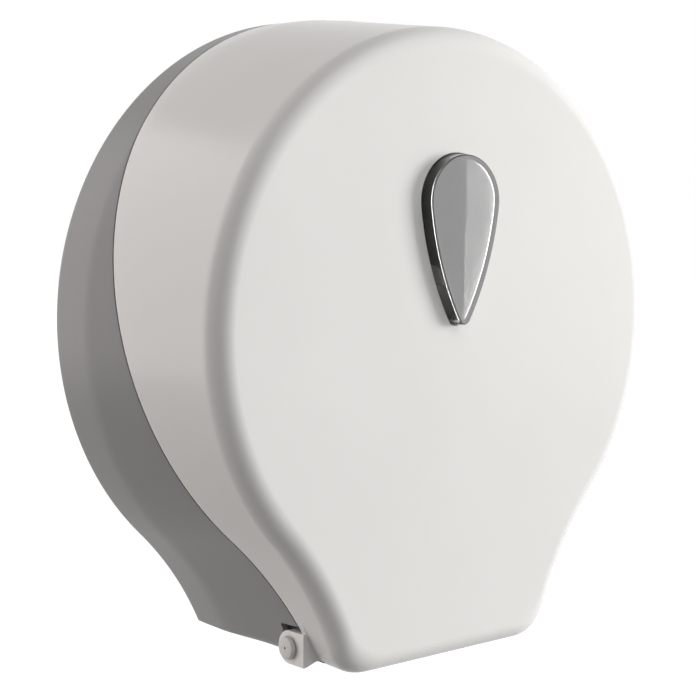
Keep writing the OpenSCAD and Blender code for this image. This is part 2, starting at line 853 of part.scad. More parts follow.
rear_base();
front_cover();
window_lens();
hinge_pin_left();
hinge_pin_right();
spindle_post();
spindle_screws();
friction_washer();
core_hub();
hub_cap();
hub_cap_screw();
cutter_blade_left();
cutter_blade_right();
blade_screws();
lock_barrel();
lock_nut();
lock_plug();
lock_cam();
lock_cam_screw();
lock_keeper();
keeper_screws();
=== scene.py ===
"""Jumbo toilet roll dispenser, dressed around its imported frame.

The classes below build the housing, its fittings and the studio. Their sizes
are millimetres in the frame's own axes: X right, Z up and the front at -Y. A
depth is the distance in front of the wall, and meshes are written in metres.
"""
import json
import logging
import math
from collections.abc import Callable, Iterable, Sequence
from dataclasses import dataclass, field
from enum import Enum

import bmesh
import bpy
from mathutils import Matrix, Vector

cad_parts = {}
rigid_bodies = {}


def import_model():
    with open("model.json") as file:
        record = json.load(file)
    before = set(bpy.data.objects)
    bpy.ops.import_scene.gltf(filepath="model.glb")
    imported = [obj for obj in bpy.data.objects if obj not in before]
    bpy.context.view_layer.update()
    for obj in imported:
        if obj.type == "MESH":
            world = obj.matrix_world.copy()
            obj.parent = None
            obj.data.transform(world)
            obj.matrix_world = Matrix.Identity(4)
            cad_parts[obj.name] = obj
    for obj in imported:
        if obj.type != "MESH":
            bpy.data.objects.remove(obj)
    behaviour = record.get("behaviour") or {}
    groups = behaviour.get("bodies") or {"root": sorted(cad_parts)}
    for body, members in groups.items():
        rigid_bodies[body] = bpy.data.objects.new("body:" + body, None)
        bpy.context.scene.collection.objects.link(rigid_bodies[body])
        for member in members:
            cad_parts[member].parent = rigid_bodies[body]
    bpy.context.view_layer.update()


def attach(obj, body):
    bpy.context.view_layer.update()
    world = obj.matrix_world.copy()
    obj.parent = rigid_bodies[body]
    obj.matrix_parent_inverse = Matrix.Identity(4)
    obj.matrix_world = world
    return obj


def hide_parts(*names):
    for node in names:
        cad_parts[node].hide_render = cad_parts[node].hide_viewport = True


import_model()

MM = 0.001
RENDER_PX = 696
FIT = 0.03

Point = tuple[float, float, float]
Flat = tuple[float, float]
Ring = list[Point]
Colour = tuple[float, float, float, float]
Piece = bpy.types.Object
Material = bpy.types.Material
NodeTree = bpy.types.NodeTree
Node = bpy.types.Node
Socket = bpy.types.NodeSocket

log = logging.getLogger("dispenser")


class Cut(Enum):
    """How a tool acts on a body."""

    ADD = "UNION"
    TAKE = "DIFFERENCE"


class Axis(Enum):
    """Direction that a turned or extruded shape runs along."""

    ACROSS = "x"
    FORWARD = "-y"
    UP = "z"


class Body(Enum):
    """Bodies of the frame that pieces ride on."""

    BASE = "base"
    COVER = "cover"
    HUB = "hub"
    LOCK_ROTOR = "lock_rotor"


class Slot(Enum):
    """Material slots of the record."""

    GREY_PLASTIC = "grey_plastic"
    WHITE_PLASTIC = "white_plastic"
    SMOKED_LENS = "smoked_lens"
    PIN_PLASTIC = "pin_plastic"
    ZINC_STEEL = "zinc_steel"
    BLADE_STEEL = "blade_steel"
    CHROME = "chrome"
    PLUG_BRASS = "plug_brass"
    WASHER_RUBBER = "washer_rubber"


def place(axis: Axis, u: float, v: float, along: float) -> Point:
    """Point of a drawing (u, v) at a distance along its axis.

    Args:
        axis: Direction of the axis.
        u: First coordinate of the drawing.
        v: Second coordinate of the drawing.
        along: Distance along the axis.

    Returns:
        The point in the frame's axes.
    """
    if axis is Axis.ACROSS:
        return (along, u, v)
    if axis is Axis.FORWARD:
        return (u, -along, v)
    return (u, v, along)


@dataclass
class Solid:
    """A closed mesh being put together, in millimetres."""

    points: list[Point] = field(default_factory=list)
    faces: list[tuple[int, ...]] = field(default_factory=list)

    @classmethod
    def skin(
        cls, rings: Sequence[Ring], first: Point | None = None, last: Point | None = None
    ) -> "Solid":
        """Skins a solid over rings of equal length.

        Args:
            rings: The rings in order.
            first: Centre that closes the first ring, or None to join it to the last.
            last: Centre that closes the last ring.

        Returns:
            The closed solid.
        """
        n, m = len(rings[0]), len(rings)
        made = cls([p for ring in rings for p in ring])
        for i in range(m if first is None else m - 1):
            here, there = i * n, (i + 1) % m * n
            made.faces += [
                (here + j, here + (j + 1) % n, there + (j + 1) % n, there + j) for j in range(n)
            ]
        if first is not None and last is not None:
            made.points += [first, last]
            made.faces += [((j + 1) % n, j, m * n) for j in range(n)]
            made.faces += [
                ((m - 1) * n + j, (m - 1) * n + (j + 1) % n, m * n + 1) for j in range(n)
            ]
        return made

    @classmethod
    def lathe(
        cls, profile: Sequence[Flat], axis: Axis, centre: Flat = (0.0, 0.0), steps: int = 72
    ) -> "Solid":
        """Turns a profile of (radius, distance along the axis) pairs.

        A profile that starts and ends on the axis gives a full solid, and one
        that stays off it is closed on itself, as for a washer.

        Args:
            profile: Radius and distance along the axis of each corner.
            axis: Direction of the axis.
            centre: Where the axis stands in the drawing plane.
            steps: Number of steps round the axis.

        Returns:
            The closed solid.
        """
        cu, cv = centre
        on_axis = profile[0][0] == 0 and profile[-1][0] == 0
        turned = profile[1:-1] if on_axis else profile
        angles = [2 * math.pi * i / steps for i in range(steps)]
        rings = [
            [place(axis, cu + r * math.cos(t), cv + r * math.sin(t), h) for t in angles]
            for r, h in turned
        ]
        if not on_axis:
            return cls.skin(rings)
        ends = [place(axis, cu, cv, profile[i][1]) for i in (0, -1)]
        return cls.skin(rings, ends[0], ends[1])

    @classmethod
    def rod(
        cls, radius: float, low: float, high: float, axis: Axis, centre: Flat = (0.0, 0.0),
        steps: int = 72
    ) -> "Solid":
        """Plain cylinder between two distances along its axis."""
        return cls.lathe([(0, low), (radius, low), (radius, high), (0, high)], axis, centre, steps)

    @classmethod
    def prism(cls, outline: Sequence[Flat], axis: Axis, low: float, high: float) -> "Solid":
        """Extrudes a closed outline between two distances along its axis."""
        n = len(outline)
        made = cls([place(axis, u, v, h) for h in (low, high) for u, v in outline])
        made.faces = [(j, (j + 1) % n, n + (j + 1) % n, n + j) for j in range(n)]
        made.faces += [tuple(range(n)), tuple(range(n, 2 * n))]
        return made

    @classmethod
    def box(cls, low: Point, high: Point) -> "Solid":
        """Block between two corners."""
        corners = [(low[0], low[1]), (high[0], low[1]), (high[0], high[1]), (low[0], high[1])]
        return cls.prism(corners, Axis.UP, low[2], high[2])

    def mirrored(self) -> "Solid":
        """The same solid on the other side of the middle plane."""
        return Solid([(-x, y, z) for x, y, z in self.points], list(self.faces))

    def both(self) -> list["Solid"]:
        """The solid and its mirror image."""
        return [self, self.mirrored()]

    def to_object(self, name: str) -> Piece:
        """Writes the solid as a Blender object whose faces point outwards.

        Args:
            name: Name of the object and its mesh.

        Returns:
            The object, linked to the scene, at the origin and in metres.
        """
        mesh = bpy.data.meshes.new(name)
        mesh.from_pydata([tuple(c * MM for c in p) for p in self.points], [], self.faces)
        work = bmesh.new()
        work.from_mesh(mesh)
        bmesh.ops.recalc_face_normals(work, faces=work.faces)
        work.to_mesh(mesh)
        work.free()
        obj = bpy.data.objects.new(name, mesh)
        bpy.context.scene.collection.objects.link(obj)
        return obj


Tool = Solid | Piece


def arc(centre: Flat, radius: float, start: float, end: float, steps: int) -> list[Flat]:
    """Points on a circle between two angles in radians, both ends included."""
    turns = [start + (end - start) * i / steps for i in range(steps + 1)]
    return [(centre[0] + radius * math.cos(t), centre[1] + radius * math.sin(t)) for t in turns]


def curve(start: Flat, bend: Flat, end: Flat, t: float) -> Flat:
    """Point at a share t of the curve from start to end that is pulled towards bend."""
    a, b, c = (1 - t) ** 2, 2 * t * (1 - t), t * t
    return (a * start[0] + b * bend[0] + c * end[0], a * start[1] + b * bend[1] + c * end[1])


def rounded_rectangle(low: Flat, high: Flat, radius: float, steps: int = 8) -> list[Flat]:
    """Outline of a rectangle with round corners, anticlockwise."""
    corners = [(high[0], high[1], 0), (low[0], high[1], 90), (low[0], low[1], 180),
               (high[0], low[1], 270)]
    outline = []
    for u, v, start in corners:
        cu = u - math.copysign(radius, u - (low[0] + high[0]) / 2)
        cv = v - math.copysign(radius, v - (low[1] + high[1]) / 2)
        outline += arc((cu, cv), radius, math.radians(start), math.radians(start + 90), steps)
    return outline


def settle(obj: Piece) -> None:
    """Turns an object's live modifiers into its plain mesh."""
    graph = bpy.context.evaluated_depsgraph_get()
    old = obj.data
    mesh = bpy.data.meshes.new_from_object(obj.evaluated_get(graph))
    obj.modifiers.clear()
    obj.data = mesh
    mesh.name = obj.name
    bpy.data.meshes.remove(old)


def combine(body: Piece, tools: Iterable[Tool], cut: Cut) -> None:
    """Adds tools to a body or takes them away, and removes the tools.

    Args:
        body: The object that is changed.
        tools: Solids or closed objects.
        cut: Whether they are added or taken.
    """
    used = [tool.to_object("tool") if isinstance(tool, Solid) else tool for tool in tools]
    for tool in used:
        step = body.modifiers.new(cut.name, "BOOLEAN")
        step.object, step.operation, step.solver = tool, cut.value, "MANIFOLD"
    bpy.context.view_layer.update()
    settle(body)
    for tool in used:
        mesh = tool.data
        bpy.data.objects.remove(tool)
        bpy.data.meshes.remove(mesh)


def soften(obj: Piece, width: float, segments: int = 2, angle: float = 35) -> None:
    """Rounds an object's sharp edges.

    Args:
        obj: The object.
        width: Width of the rounding in millimetres.
        segments: Number of faces across it.
        angle: Least angle in degrees of an edge that is rounded.
    """
    step = obj.modifiers.new("soften", "BEVEL")
    step.width, step.segments, step.limit_method = width * MM, segments, "ANGLE"
    step.angle_limit = math.radians(angle)
    step.harden_normals = False
    settle(obj)


def shade(obj: Piece, angle: float = 32) -> None:
    """Smooth shading that favours large faces, with steep edges kept sharp.

    Args:
        obj: The object.
        angle: Least angle in degrees of an edge that stays sharp.
    """
    mesh = obj.data
    mesh.polygons.foreach_set("use_smooth", [True] * len(mesh.polygons))
    mesh.set_sharp_from_angle(angle=math.radians(angle))
    mesh.update()
    step = obj.modifiers.new("flat_faces_first", "WEIGHTED_NORMAL")
    step.mode, step.keep_sharp = "FACE_AREA", True
    settle(obj)


def hand_over(obj: Piece, body: Body, finishes: "Finishes", slot: Slot, *nodes: str) -> None:
    """Shades a piece, gives it its finish and its body, and hides the nodes it stands for.

    Args:
        obj: The finished piece.
        body: Body that it rides on.
        finishes: The materials.
        slot: The record's slot that it takes its finish from.
        nodes: Nodes that it replaces.
    """
    shade(obj)
    obj.data.materials.clear()
    obj.data.materials.append(finishes[slot])
    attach(obj, body.value)
    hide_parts(*nodes)
    log.info("%s: %d faces, rides on %s", obj.name, len(obj.data.polygons), body.value)


def new_inputs(tree: NodeTree, defaults: dict[str, object]) -> dict[str, str]:
    """Adds a tree's inputs, typed by their defaults.

    Args:
        tree: The tree.
        defaults: Default of each input by label; None makes a plain vector.

    Returns:
        The identifier of each input by label.
    """
    kinds = {int: "NodeSocketInt", float: "NodeSocketFloat"}
    ids = {}
    for label, value in defaults.items():
        kind = kinds.get(type(value), "NodeSocketVector")
        socket = tree.interface.new_socket(label, in_out="INPUT", socket_type=kind)
        if value is not None:
            socket.default_value = value
        ids[label] = socket.identifier
    return ids


@dataclass
class Sketch:
    """Adds and links the nodes of one tree."""

    tree: NodeTree

    def put(self, value: object, target: Socket) -> None:
        """Links a socket to an input, or writes a plain value there."""
        if isinstance(value, Socket):
            self.tree.links.new(value, target)
        else:
            target.default_value = value

    def add(self, kind: str, *values: object, **settings: object) -> Node:
        """New node of a kind.

        Args:
            kind: Type of the node.
            values: Values or source sockets of its first inputs.
            settings: Its settings by name.

        Returns:
            The node.
        """
        node = self.tree.nodes.new(kind)
        for name, value in settings.items():
            setattr(node, name, value)
        for value, target in zip(values, node.inputs):
            self.put(value, target)
        return node

    def feed(self, node: Node, **inputs: object) -> Node:
        """Sets inputs by name, with _ for a space, and returns the node."""
        for name, value in inputs.items():
            self.put(value, node.inputs[name.replace("_", " ")])
        return node

    def sum(self, operation: str, *terms: object) -> Socket:
        """Output of a Math node over up to three sockets or numbers."""
        return self.add("ShaderNodeMath", *terms, operation=operation).outputs[0]

    def vector(self, x: object = 0.0, y: object = 0.0, z: object = 0.0) -> Socket:
        """Vector put together from sockets or numbers."""
        return self.add("ShaderNodeCombineXYZ", x, y, z).outputs[0]

    def cylinder(self, **inputs: object) -> Socket:
        """Mesh of a cylinder along Z round the origin."""
        return self.feed(self.add("GeometryNodeMeshCylinder"), **inputs).outputs["Mesh"]

    def moved(self, mesh: Socket, **inputs: object) -> Socket:
        """A mesh scaled, turned or moved by named inputs."""
        return self.feed(self.add("GeometryNodeTransform", mesh), **inputs).outputs[0]

    def union(self, solver: str, *meshes: Socket) -> Node:
        """Boolean node that joins meshes."""
        node = self.add("GeometryNodeMeshBoolean", operation="UNION", solver=solver)
        for mesh in meshes:
            self.put(mesh, node.inputs["Mesh 2"])
        return node

    def turned(self, axis: Point, angle: object) -> Socket:
        """Rotation by an angle about an axis."""
        return self.add("FunctionNodeAxisAngleToRotation", axis, angle).outputs[0]

    def spread(self, points: Socket, item: Socket, turn: Socket) -> Socket:
        """Instances of an item on points, each with its turn."""
        node = self.add("GeometryNodeInstanceOnPoints", points)
        return self.feed(node, Instance=item, Rotation=turn).outputs[0]


class RepeatTree:
    """Base of the geometry trees: named inputs, one geometry output."""

    name = "repeat"
    sizes: dict[str, object] = {}

    def __init__(self) -> None:
        """Makes the tree, its sockets and its nodes."""
        self.tree = bpy.data.node_groups.new(self.name, "GeometryNodeTree")
        face = self.tree.interface
        face.new_socket("Geometry", in_out="INPUT", socket_type="NodeSocketGeometry")
        self.ids = new_inputs(self.tree, self.sizes)
        self.ids["Finish"] = face.new_socket(
            "Finish", in_out="INPUT", socket_type="NodeSocketMaterial").identifier
        face.new_socket("Geometry", in_out="OUTPUT", socket_type="NodeSocketGeometry")
        self.sketch = Sketch(self.tree)
        self.given = self.sketch.add("NodeGroupInput")
        real = self.sketch.add("GeometryNodeRealizeInstances", self.build())
        paint = self.sketch.add("GeometryNodeSetMaterial", real.outputs[0])
        self.sketch.feed(paint, Material=self.given.outputs["Finish"])
        self.sketch.add("NodeGroupOutput", paint.outputs[0])

    def build(self) -> Socket:
        """Adds the nodes between input and output, and returns the last socket."""
        raise NotImplementedError

    def grow(self, obj: Piece, **sizes: object) -> Piece:
        """Runs the tree on an object and keeps the result as its plain mesh.

        Args:
            obj: Object whose mesh goes in.
            sizes: Values of the named inputs, with _ for a space.

        Returns:
            The same object.
        """
        step = obj.modifiers.new(self.name, "NODES")
        step.node_group = self.tree
        for label, value in sizes.items():
            step[self.ids[label.replace("_", " ")]] = value
        bpy.context.view_layer.update()
        settle(obj)
        return obj


class ScrewTree(RepeatTree):
    """A cross-recess screw on every point that comes in, each turned its own way."""

    name = "screw_set"
    sizes = {
        "Head Radius": 0.003,
        "Head Height": 0.002,
        "Shank Radius": 0.0015,
        "Shank Length": 0.006,
        "Recess": 0.0008,
        "Crown": 0.7,
        "Axis": (0.0, 0.0, 1.0),
        "Seed": 3,
    }
    threads = 5.0
    thread_depth = 0.12
    dome_start = 0.35
    recess_reach = 1.15
    recess_depth = 1.3
    recess_lift = 1.05
    overlap = 0.49

    def shaped(self, mesh: Socket, factor: Socket, where: Node) -> Socket:
        """Scales a mesh's radius by a factor that changes along its axis."""
        s = self.sketch
        x, y = (s.sum("MULTIPLY", where.outputs[i], factor) for i in (0, 1))
        move = s.add("GeometryNodeSetPosition", mesh)
        return s.feed(move, Position=s.vector(x, y, where.outputs["Z"])).outputs[0]

    def build(self) -> Socket:
        """Head, thread and recess, placed on the points."""
        s, given = self.sketch, self.given.outputs
        height, length = given["Head Height"], given["Shank Length"]
        where = s.add("ShaderNodeSeparateXYZ", s.add("GeometryNodeInputPosition").outputs[0])
        x, y, z = where.outputs
        head = s.cylinder(Vertices=40, Side_Segments=8, Radius=given["Head Radius"], Depth=height)
        raised = s.moved(head, Translation=s.vector(z=s.sum("MULTIPLY", height, 0.5)))
        rise = s.sum("SUBTRACT", s.sum("DIVIDE", z, height), self.dome_start)
        above = s.sum("MAXIMUM", s.sum("DIVIDE", rise, 1 - self.dome_start), 0.0)
        bow = s.sum("MULTIPLY", s.sum("MULTIPLY", above, above), given["Crown"])
        domed = self.shaped(raised, s.sum("SQRT", s.sum("SUBTRACT", 1.0, bow)), where)
        shank = s.cylinder(Vertices=20, Side_Segments=36, Radius=given["Shank Radius"],
                           Depth=length)
        lowered = s.moved(shank, Translation=s.vector(z=s.sum("MULTIPLY", length, -self.overlap)))
        phase = s.sum("MULTIPLY_ADD", s.sum("DIVIDE", z, length), 2 * math.pi * self.threads,
                      s.sum("ARCTAN2", y, x))
        groove = s.sum("MULTIPLY_ADD", s.sum("SINE", phase), self.thread_depth / 2,
                       1 - self.thread_depth / 2)
        whole = s.union("MANIFOLD", domed, self.shaped(lowered, groove, where))
        size = s.vector(s.sum("MULTIPLY", given["Head Radius"], self.recess_reach),
                        given["Recess"], s.sum("MULTIPLY", height, self.recess_depth))
        slot = s.add("GeometryNodeMeshCube", size).outputs["Mesh"]
        up = s.vector(z=s.sum("MULTIPLY", height, self.recess_lift))
        carved = s.add("GeometryNodeMeshBoolean", whole.outputs[0], operation="DIFFERENCE",
                       solver="MANIFOLD")
        for angle in (0.0, math.pi / 2):
            s.feed(carved, Mesh_2=s.moved(slot, Translation=up, Rotation=(0.0, 0.0, angle)))
        aim = s.feed(s.add("FunctionNodeAlignRotationToVector", axis="Z"), Vector=given["Axis"])
        chance = s.add("FunctionNodeRandomValue", data_type="FLOAT")
        chance.inputs[2].default_value, chance.inputs[3].default_value = 0.0, math.pi
        s.feed(chance, Seed=given["Seed"])
        both = s.add("FunctionNodeRotateRotation", aim.outputs[0],
                     s.turned((0.0, 0.0, 1.0), chance.outputs[1]), rotation_space="LOCAL")
        points = s.add("GeometryNodeMeshToPoints", given["Geometry"])
        return s.spread(points.outputs[0], carved.outputs[0], both.outputs[0])


class ToothTree(RepeatTree):
    """A row of pointed teeth along Y, joined to the plate that comes in."""

    name = "tooth_row"
    sizes = {
        "Count": 20,
        "Pitch": 0.003,
        "Height": 0.0026,
        "Thickness": 0.001,
        "Start": (0.0, 0.0, 0.0),
        "Side": 0.0,
    }
    overlap = 0.0003
    side_overlap = 1.02

    def build(self) -> Socket:
        """One three-sided tooth, repeated and joined to the plate."""
        s, given = self.sketch, self.given.outputs
        wedge = s.cylinder(Vertices=3, Radius=1.0, Depth=given["Thickness"])
        reach = s.sum("ADD", given["Height"], self.overlap)
        width = s.sum("MULTIPLY", given["Pitch"], self.side_overlap / math.sqrt(3))
        shift = s.sum("SUBTRACT", s.sum("DIVIDE", reach, 3), self.overlap)
        sized = s.moved(wedge, Scale=s.vector(s.sum("DIVIDE", reach, 1.5), width, 1.0),
                        Translation=s.vector(shift))
        line = s.feed(s.add("GeometryNodeMeshLine"), Count=given["Count"],
                      Start_Location=given["Start"], Offset=s.vector(y=given["Pitch"]))
        put = s.spread(line.outputs[0], sized, s.turned((0.0, 0.0, 1.0), given["Side"]))
        row = s.add("GeometryNodeRealizeInstances", put)
        whole = s.union("EXACT", given["Geometry"], row.outputs[0])
        return s.feed(whole, Self_Intersection=True).outputs[0]


class WheelTree(RepeatTree):
    """The solid that comes in, repeated round the roll axis."""

    name = "wheel"
    sizes = {
        "Count": 6,
        "Phase": 0.0,
        "Thickness": 0.003,
    }

    def build(self) -> Socket:
        """Flat fins drawn one metre thick, brought to thickness and repeated."""
        s, given = self.sketch, self.given.outputs
        thin = s.moved(given["Geometry"], Scale=s.vector(1.0, 1.0, given["Thickness"]))
        line = s.feed(s.add("GeometryNodeMeshLine"), Count=given["Count"],
                      Offset=(0.0, 0.0, 0.0))
        index = s.add("GeometryNodeInputIndex").outputs[0]
        turn = s.sum("DIVIDE", s.sum("MULTIPLY", index, 2 * math.pi), given["Count"])
        angle = s.sum("ADD", turn, given["Phase"])
        return s.spread(line.outputs[0], thin, s.turned((0.0, 1.0, 0.0), angle))

    @staticmethod
    def fin(name: str, outline: Sequence[Flat]) -> Piece:
        """A fin one metre thick whose outline is (distance from the axis, depth)."""
        half = 0.5 / MM
        return Solid.prism([(r, -d) for r, d in outline], Axis.UP, -half, half).to_object(name)


def shader_group(name: str, inputs: dict[str, object], *outputs: str) -> tuple[Sketch, Node, Node]:
    """Starts a shader node group with named sockets.

    Args:
        name: Name of the group.
        inputs: Default of each input.
        outputs: Labels of its outputs, which are all numbers.

    Returns:
        Its sketch, its input node and its output node.
    """
    tree = bpy.data.node_groups.new(name, "ShaderNodeTree")
    new_inputs(tree, inputs)
    for label in outputs:
        tree.interface.new_socket(label, in_out="OUTPUT", socket_type="NodeSocketFloat")
    sketch = Sketch(tree)
    return sketch, sketch.add("NodeGroupInput"), sketch.add("NodeGroupOutput")


def noise_of(sketch: Sketch, where: Socket, scale: Socket, detail: float = 2.0) -> Socket:
    """Value of a noise texture at some coordinates."""
    node = sketch.add("ShaderNodeTexNoise", where)
    return sketch.feed(node, Scale=scale, Detail=detail).outputs["Fac"]


def moulded_surface() -> NodeTree:
    """Group for moulded plastic: a slow ripple, a fine grain and a cloudy mask."""
    s, given, end = shader_group(
        "moulded_surface",
        {
            "Coordinates": None,
            "Ripple Scale": 120.0,
            "Grain Scale": 2400.0,
            "Grain": 0.3,
            "Cloud Scale": 9.0,
        },
        "Height", "Cloud",
    )
    given = given.outputs
    ripple, grain, cloud = (
        noise_of(s, given["Coordinates"], given[label], detail)
        for label, detail in (("Ripple Scale", 2.0), ("Grain Scale", 1.0), ("Cloud Scale", 3.0)))
    height = s.sum("ADD", ripple, s.sum("MULTIPLY", grain, given["Grain"]))
    s.feed(end, Height=height, Cloud=cloud)
    return s.tree


def drawn_metal() -> NodeTree:
    """Group for rolled and turned metal: fine streaks along one axis and a mottle."""
    s, given, end = shader_group(
        "drawn_metal",
        {
            "Coordinates": None,
            "Stretch": (1.0, 0.04, 1.0),
            "Streak Scale": 1800.0,
            "Mottle Scale": 160.0,
        },
        "Height", "Streak", "Mottle",
    )
    given = given.outputs
    where = given["Coordinates"]
    pull = s.add("ShaderNodeVectorMath", where, given["Stretch"], operation="MULTIPLY")
    streak = noise_of(s, pull.outputs[0], given["Streak Scale"])
    s.feed(end, Height=streak, Streak=streak, Mottle=noise_of(s, where, given["Mottle Scale"]))
    return s.tree


def group_node(sketch: Sketch, tree: NodeTree, **inputs: object) -> Node:
    """Places a group in a material, reading the piece's own coordinates."""
    where = sketch.add("ShaderNodeTexCoord").outputs["Object"]
    node = sketch.add("ShaderNodeGroup", node_tree=tree)
    return sketch.feed(node, Coordinates=where, **inputs)


def blank_material(name: str) -> tuple[Material, Sketch, Node]:
    """New material, its sketch and its Principled shader."""
    material = bpy.data.materials.new(name)
    material.use_nodes = True
    return material, Sketch(material.node_tree), material.node_tree.nodes["Principled BSDF"]


def vary(sketch: Sketch, mask: Socket, low: float = 0.0, high: float = 1.0) -> Socket:
    """Number that runs from low to high as the mask goes from 0.3 to 0.7."""
    node = sketch.add("ShaderNodeMapRange")
    return sketch.feed(node, Value=mask, From_Min=0.3, From_Max=0.7, To_Min=low,
                       To_Max=high).outputs[0]


def blend_colours(sketch: Sketch, mask: Socket, low: Colour, high: Colour) -> Socket:
    """Colour that runs from low to high as the mask goes from 0.3 to 0.7."""
    mix = sketch.add("ShaderNodeMix", vary(sketch, mask), data_type="RGBA")
    mix.inputs[6].default_value, mix.inputs[7].default_value = low, high
    return mix.outputs[2]


def bump(sketch: Sketch, height: Socket, depth: float) -> Socket:
    """Normal of a relief whose full depth is given in millimetres."""
    node = sketch.add("ShaderNodeBump")
    return sketch.feed(node, Strength=1.0, Distance=depth * MM, Height=height).outputs[0]


@dataclass(frozen=True)
class MouldedPlastic:
    """Injection-moulded plastic, glossy or satin."""

    name: str
    shade_low: Colour
    shade_high: Colour
    rough: Flat
    relief: float
    ripple_scale: float = 120.0
    grain_scale: float = 2400.0
    grain: float = 0.3
    coat: float = 0.0
    coat_rough: float = 0.08
    gloss: float = 0.28

    def material(self, surface: NodeTree) -> Material:
        """Builds the finish on the shared group for moulded surfaces."""
        material, s, shader = blank_material(self.name)
        group = group_node(s, surface, Ripple_Scale=self.ripple_scale,
                           Grain_Scale=self.grain_scale, Grain=self.grain)
        colour = blend_colours(s, group.outputs["Cloud"], self.shade_low, self.shade_high)
        s.feed(shader, Base_Color=colour, Specular_IOR_Level=self.gloss, Coat_Weight=self.coat,
               Coat_Roughness=self.coat_rough,
               Roughness=vary(s, group.outputs["Cloud"], *self.rough),
               Normal=bump(s, group.outputs["Height"], self.relief))
        return material


@dataclass(frozen=True)
class SmokedPlastic:
    """Clear tinted plastic with a faint haze and a cloudy front face."""

    name: str
    tint_low: Colour
    tint_high: Colour
    rough: Flat = (0.02, 0.04)
    clear: float = 0.6
    face: float = 110.98
    ior: float = 1.5
    relief: float = 0.002

    def material(self, surface: NodeTree) -> Material:
        """Builds the finish on the shared group for moulded surfaces."""
        material, s, shader = blank_material(self.name)
        group = group_node(s, surface, Ripple_Scale=60.0, Grain=0.05)
        where = s.add("ShaderNodeTexCoord").outputs["Object"]
        split = s.add("ShaderNodeSeparateXYZ", where)
        flat = s.sum("LESS_THAN", split.outputs["Y"], -self.face * MM)
        s.feed(shader, Roughness=vary(s, group.outputs["Cloud"], *self.rough),
               Base_Color=blend_colours(s, group.outputs["Cloud"], self.tint_low, self.tint_high),
               Normal=bump(s, group.outputs["Height"], self.relief), IOR=self.ior,
               Transmission_Weight=s.sum("MULTIPLY_ADD", flat, self.clear - 1.0, 1.0))
        return material


@dataclass(frozen=True)
class WorkedMetal:
    """Plated, rolled or turned metal with fine streaks."""

    name: str
    shade_low: Colour
    shade_high: Colour
    rough: Flat
    stretch: Point = (1.0, 0.04, 1.0)
    relief: float = 0.02

    def material(self, surface: NodeTree) -> Material:
        """Builds the finish on the shared group for metals."""
        material, s, shader = blank_material(self.name)
        group = group_node(s, surface, Stretch=self.stretch)
        s.feed(shader, Metallic=1.0,
               Base_Color=blend_colours(s, group.outputs["Mottle"], self.shade_low,
                                        self.shade_high),
               Roughness=vary(s, group.outputs["Streak"], *self.rough),
               Normal=bump(s, group.outputs["Height"], self.relief))
        return material


class Finishes:
    """All materials of the dispenser, by slot."""

    def __init__(self) -> None:
        """Builds the shared groups once and every finish from them."""
        plastic, metal = moulded_surface(), drawn_metal()
        finishes = {
            Slot.WHITE_PLASTIC: MouldedPlastic(
                "white_gloss_plastic", (0.80, 0.78, 0.765, 1), (0.83, 0.815, 0.80, 1),
                (0.20, 0.27), 0.012, coat=0.05, gloss=0.22),
            Slot.GREY_PLASTIC: MouldedPlastic(
                "grey_satin_plastic", (0.262, 0.258, 0.261, 1), (0.292, 0.288, 0.289, 1),
                (0.32, 0.40), 0.02, grain=0.8, gloss=0.16),
            Slot.PIN_PLASTIC: MouldedPlastic(
                "pin_plastic", (0.60, 0.585, 0.57, 1), (0.68, 0.665, 0.65, 1),
                (0.32, 0.42), 0.015, ripple_scale=600.0),
            Slot.WASHER_RUBBER: MouldedPlastic(
                "washer_rubber", (0.035, 0.035, 0.037, 1), (0.06, 0.06, 0.062, 1),
                (0.55, 0.7), 0.05, ripple_scale=900.0, grain=1.0),
            Slot.SMOKED_LENS: SmokedPlastic(
                "smoked_lens", (0.635, 0.63, 0.635, 1), (0.665, 0.66, 0.66, 1)),
            Slot.ZINC_STEEL: WorkedMetal(
                "zinc_steel", (0.60, 0.61, 0.63, 1), (0.72, 0.72, 0.70, 1), (0.28, 0.42)),
            Slot.BLADE_STEEL: WorkedMetal(
                "blade_steel", (0.66, 0.67, 0.68, 1), (0.74, 0.745, 0.75, 1), (0.16, 0.32),
                (1.0, 0.03, 1.0)),
            Slot.CHROME: WorkedMetal(
                "lock_chrome", (0.78, 0.79, 0.80, 1), (0.84, 0.84, 0.85, 1), (0.06, 0.12),
                (1.0, 1.0, 0.1), 0.004),
            Slot.PLUG_BRASS: WorkedMetal(
                "plug_brass", (0.70, 0.60, 0.38, 1), (0.78, 0.68, 0.45, 1), (0.18, 0.3),
                (1.0, 1.0, 0.1), 0.008),
        }
        self.made = {
            slot: finish.material(metal if isinstance(finish, WorkedMetal) else plastic)
            for slot, finish in finishes.items()
        }

    def __getitem__(self, slot: Slot) -> Material:
        """The finish of a slot."""
        return self.made[slot]


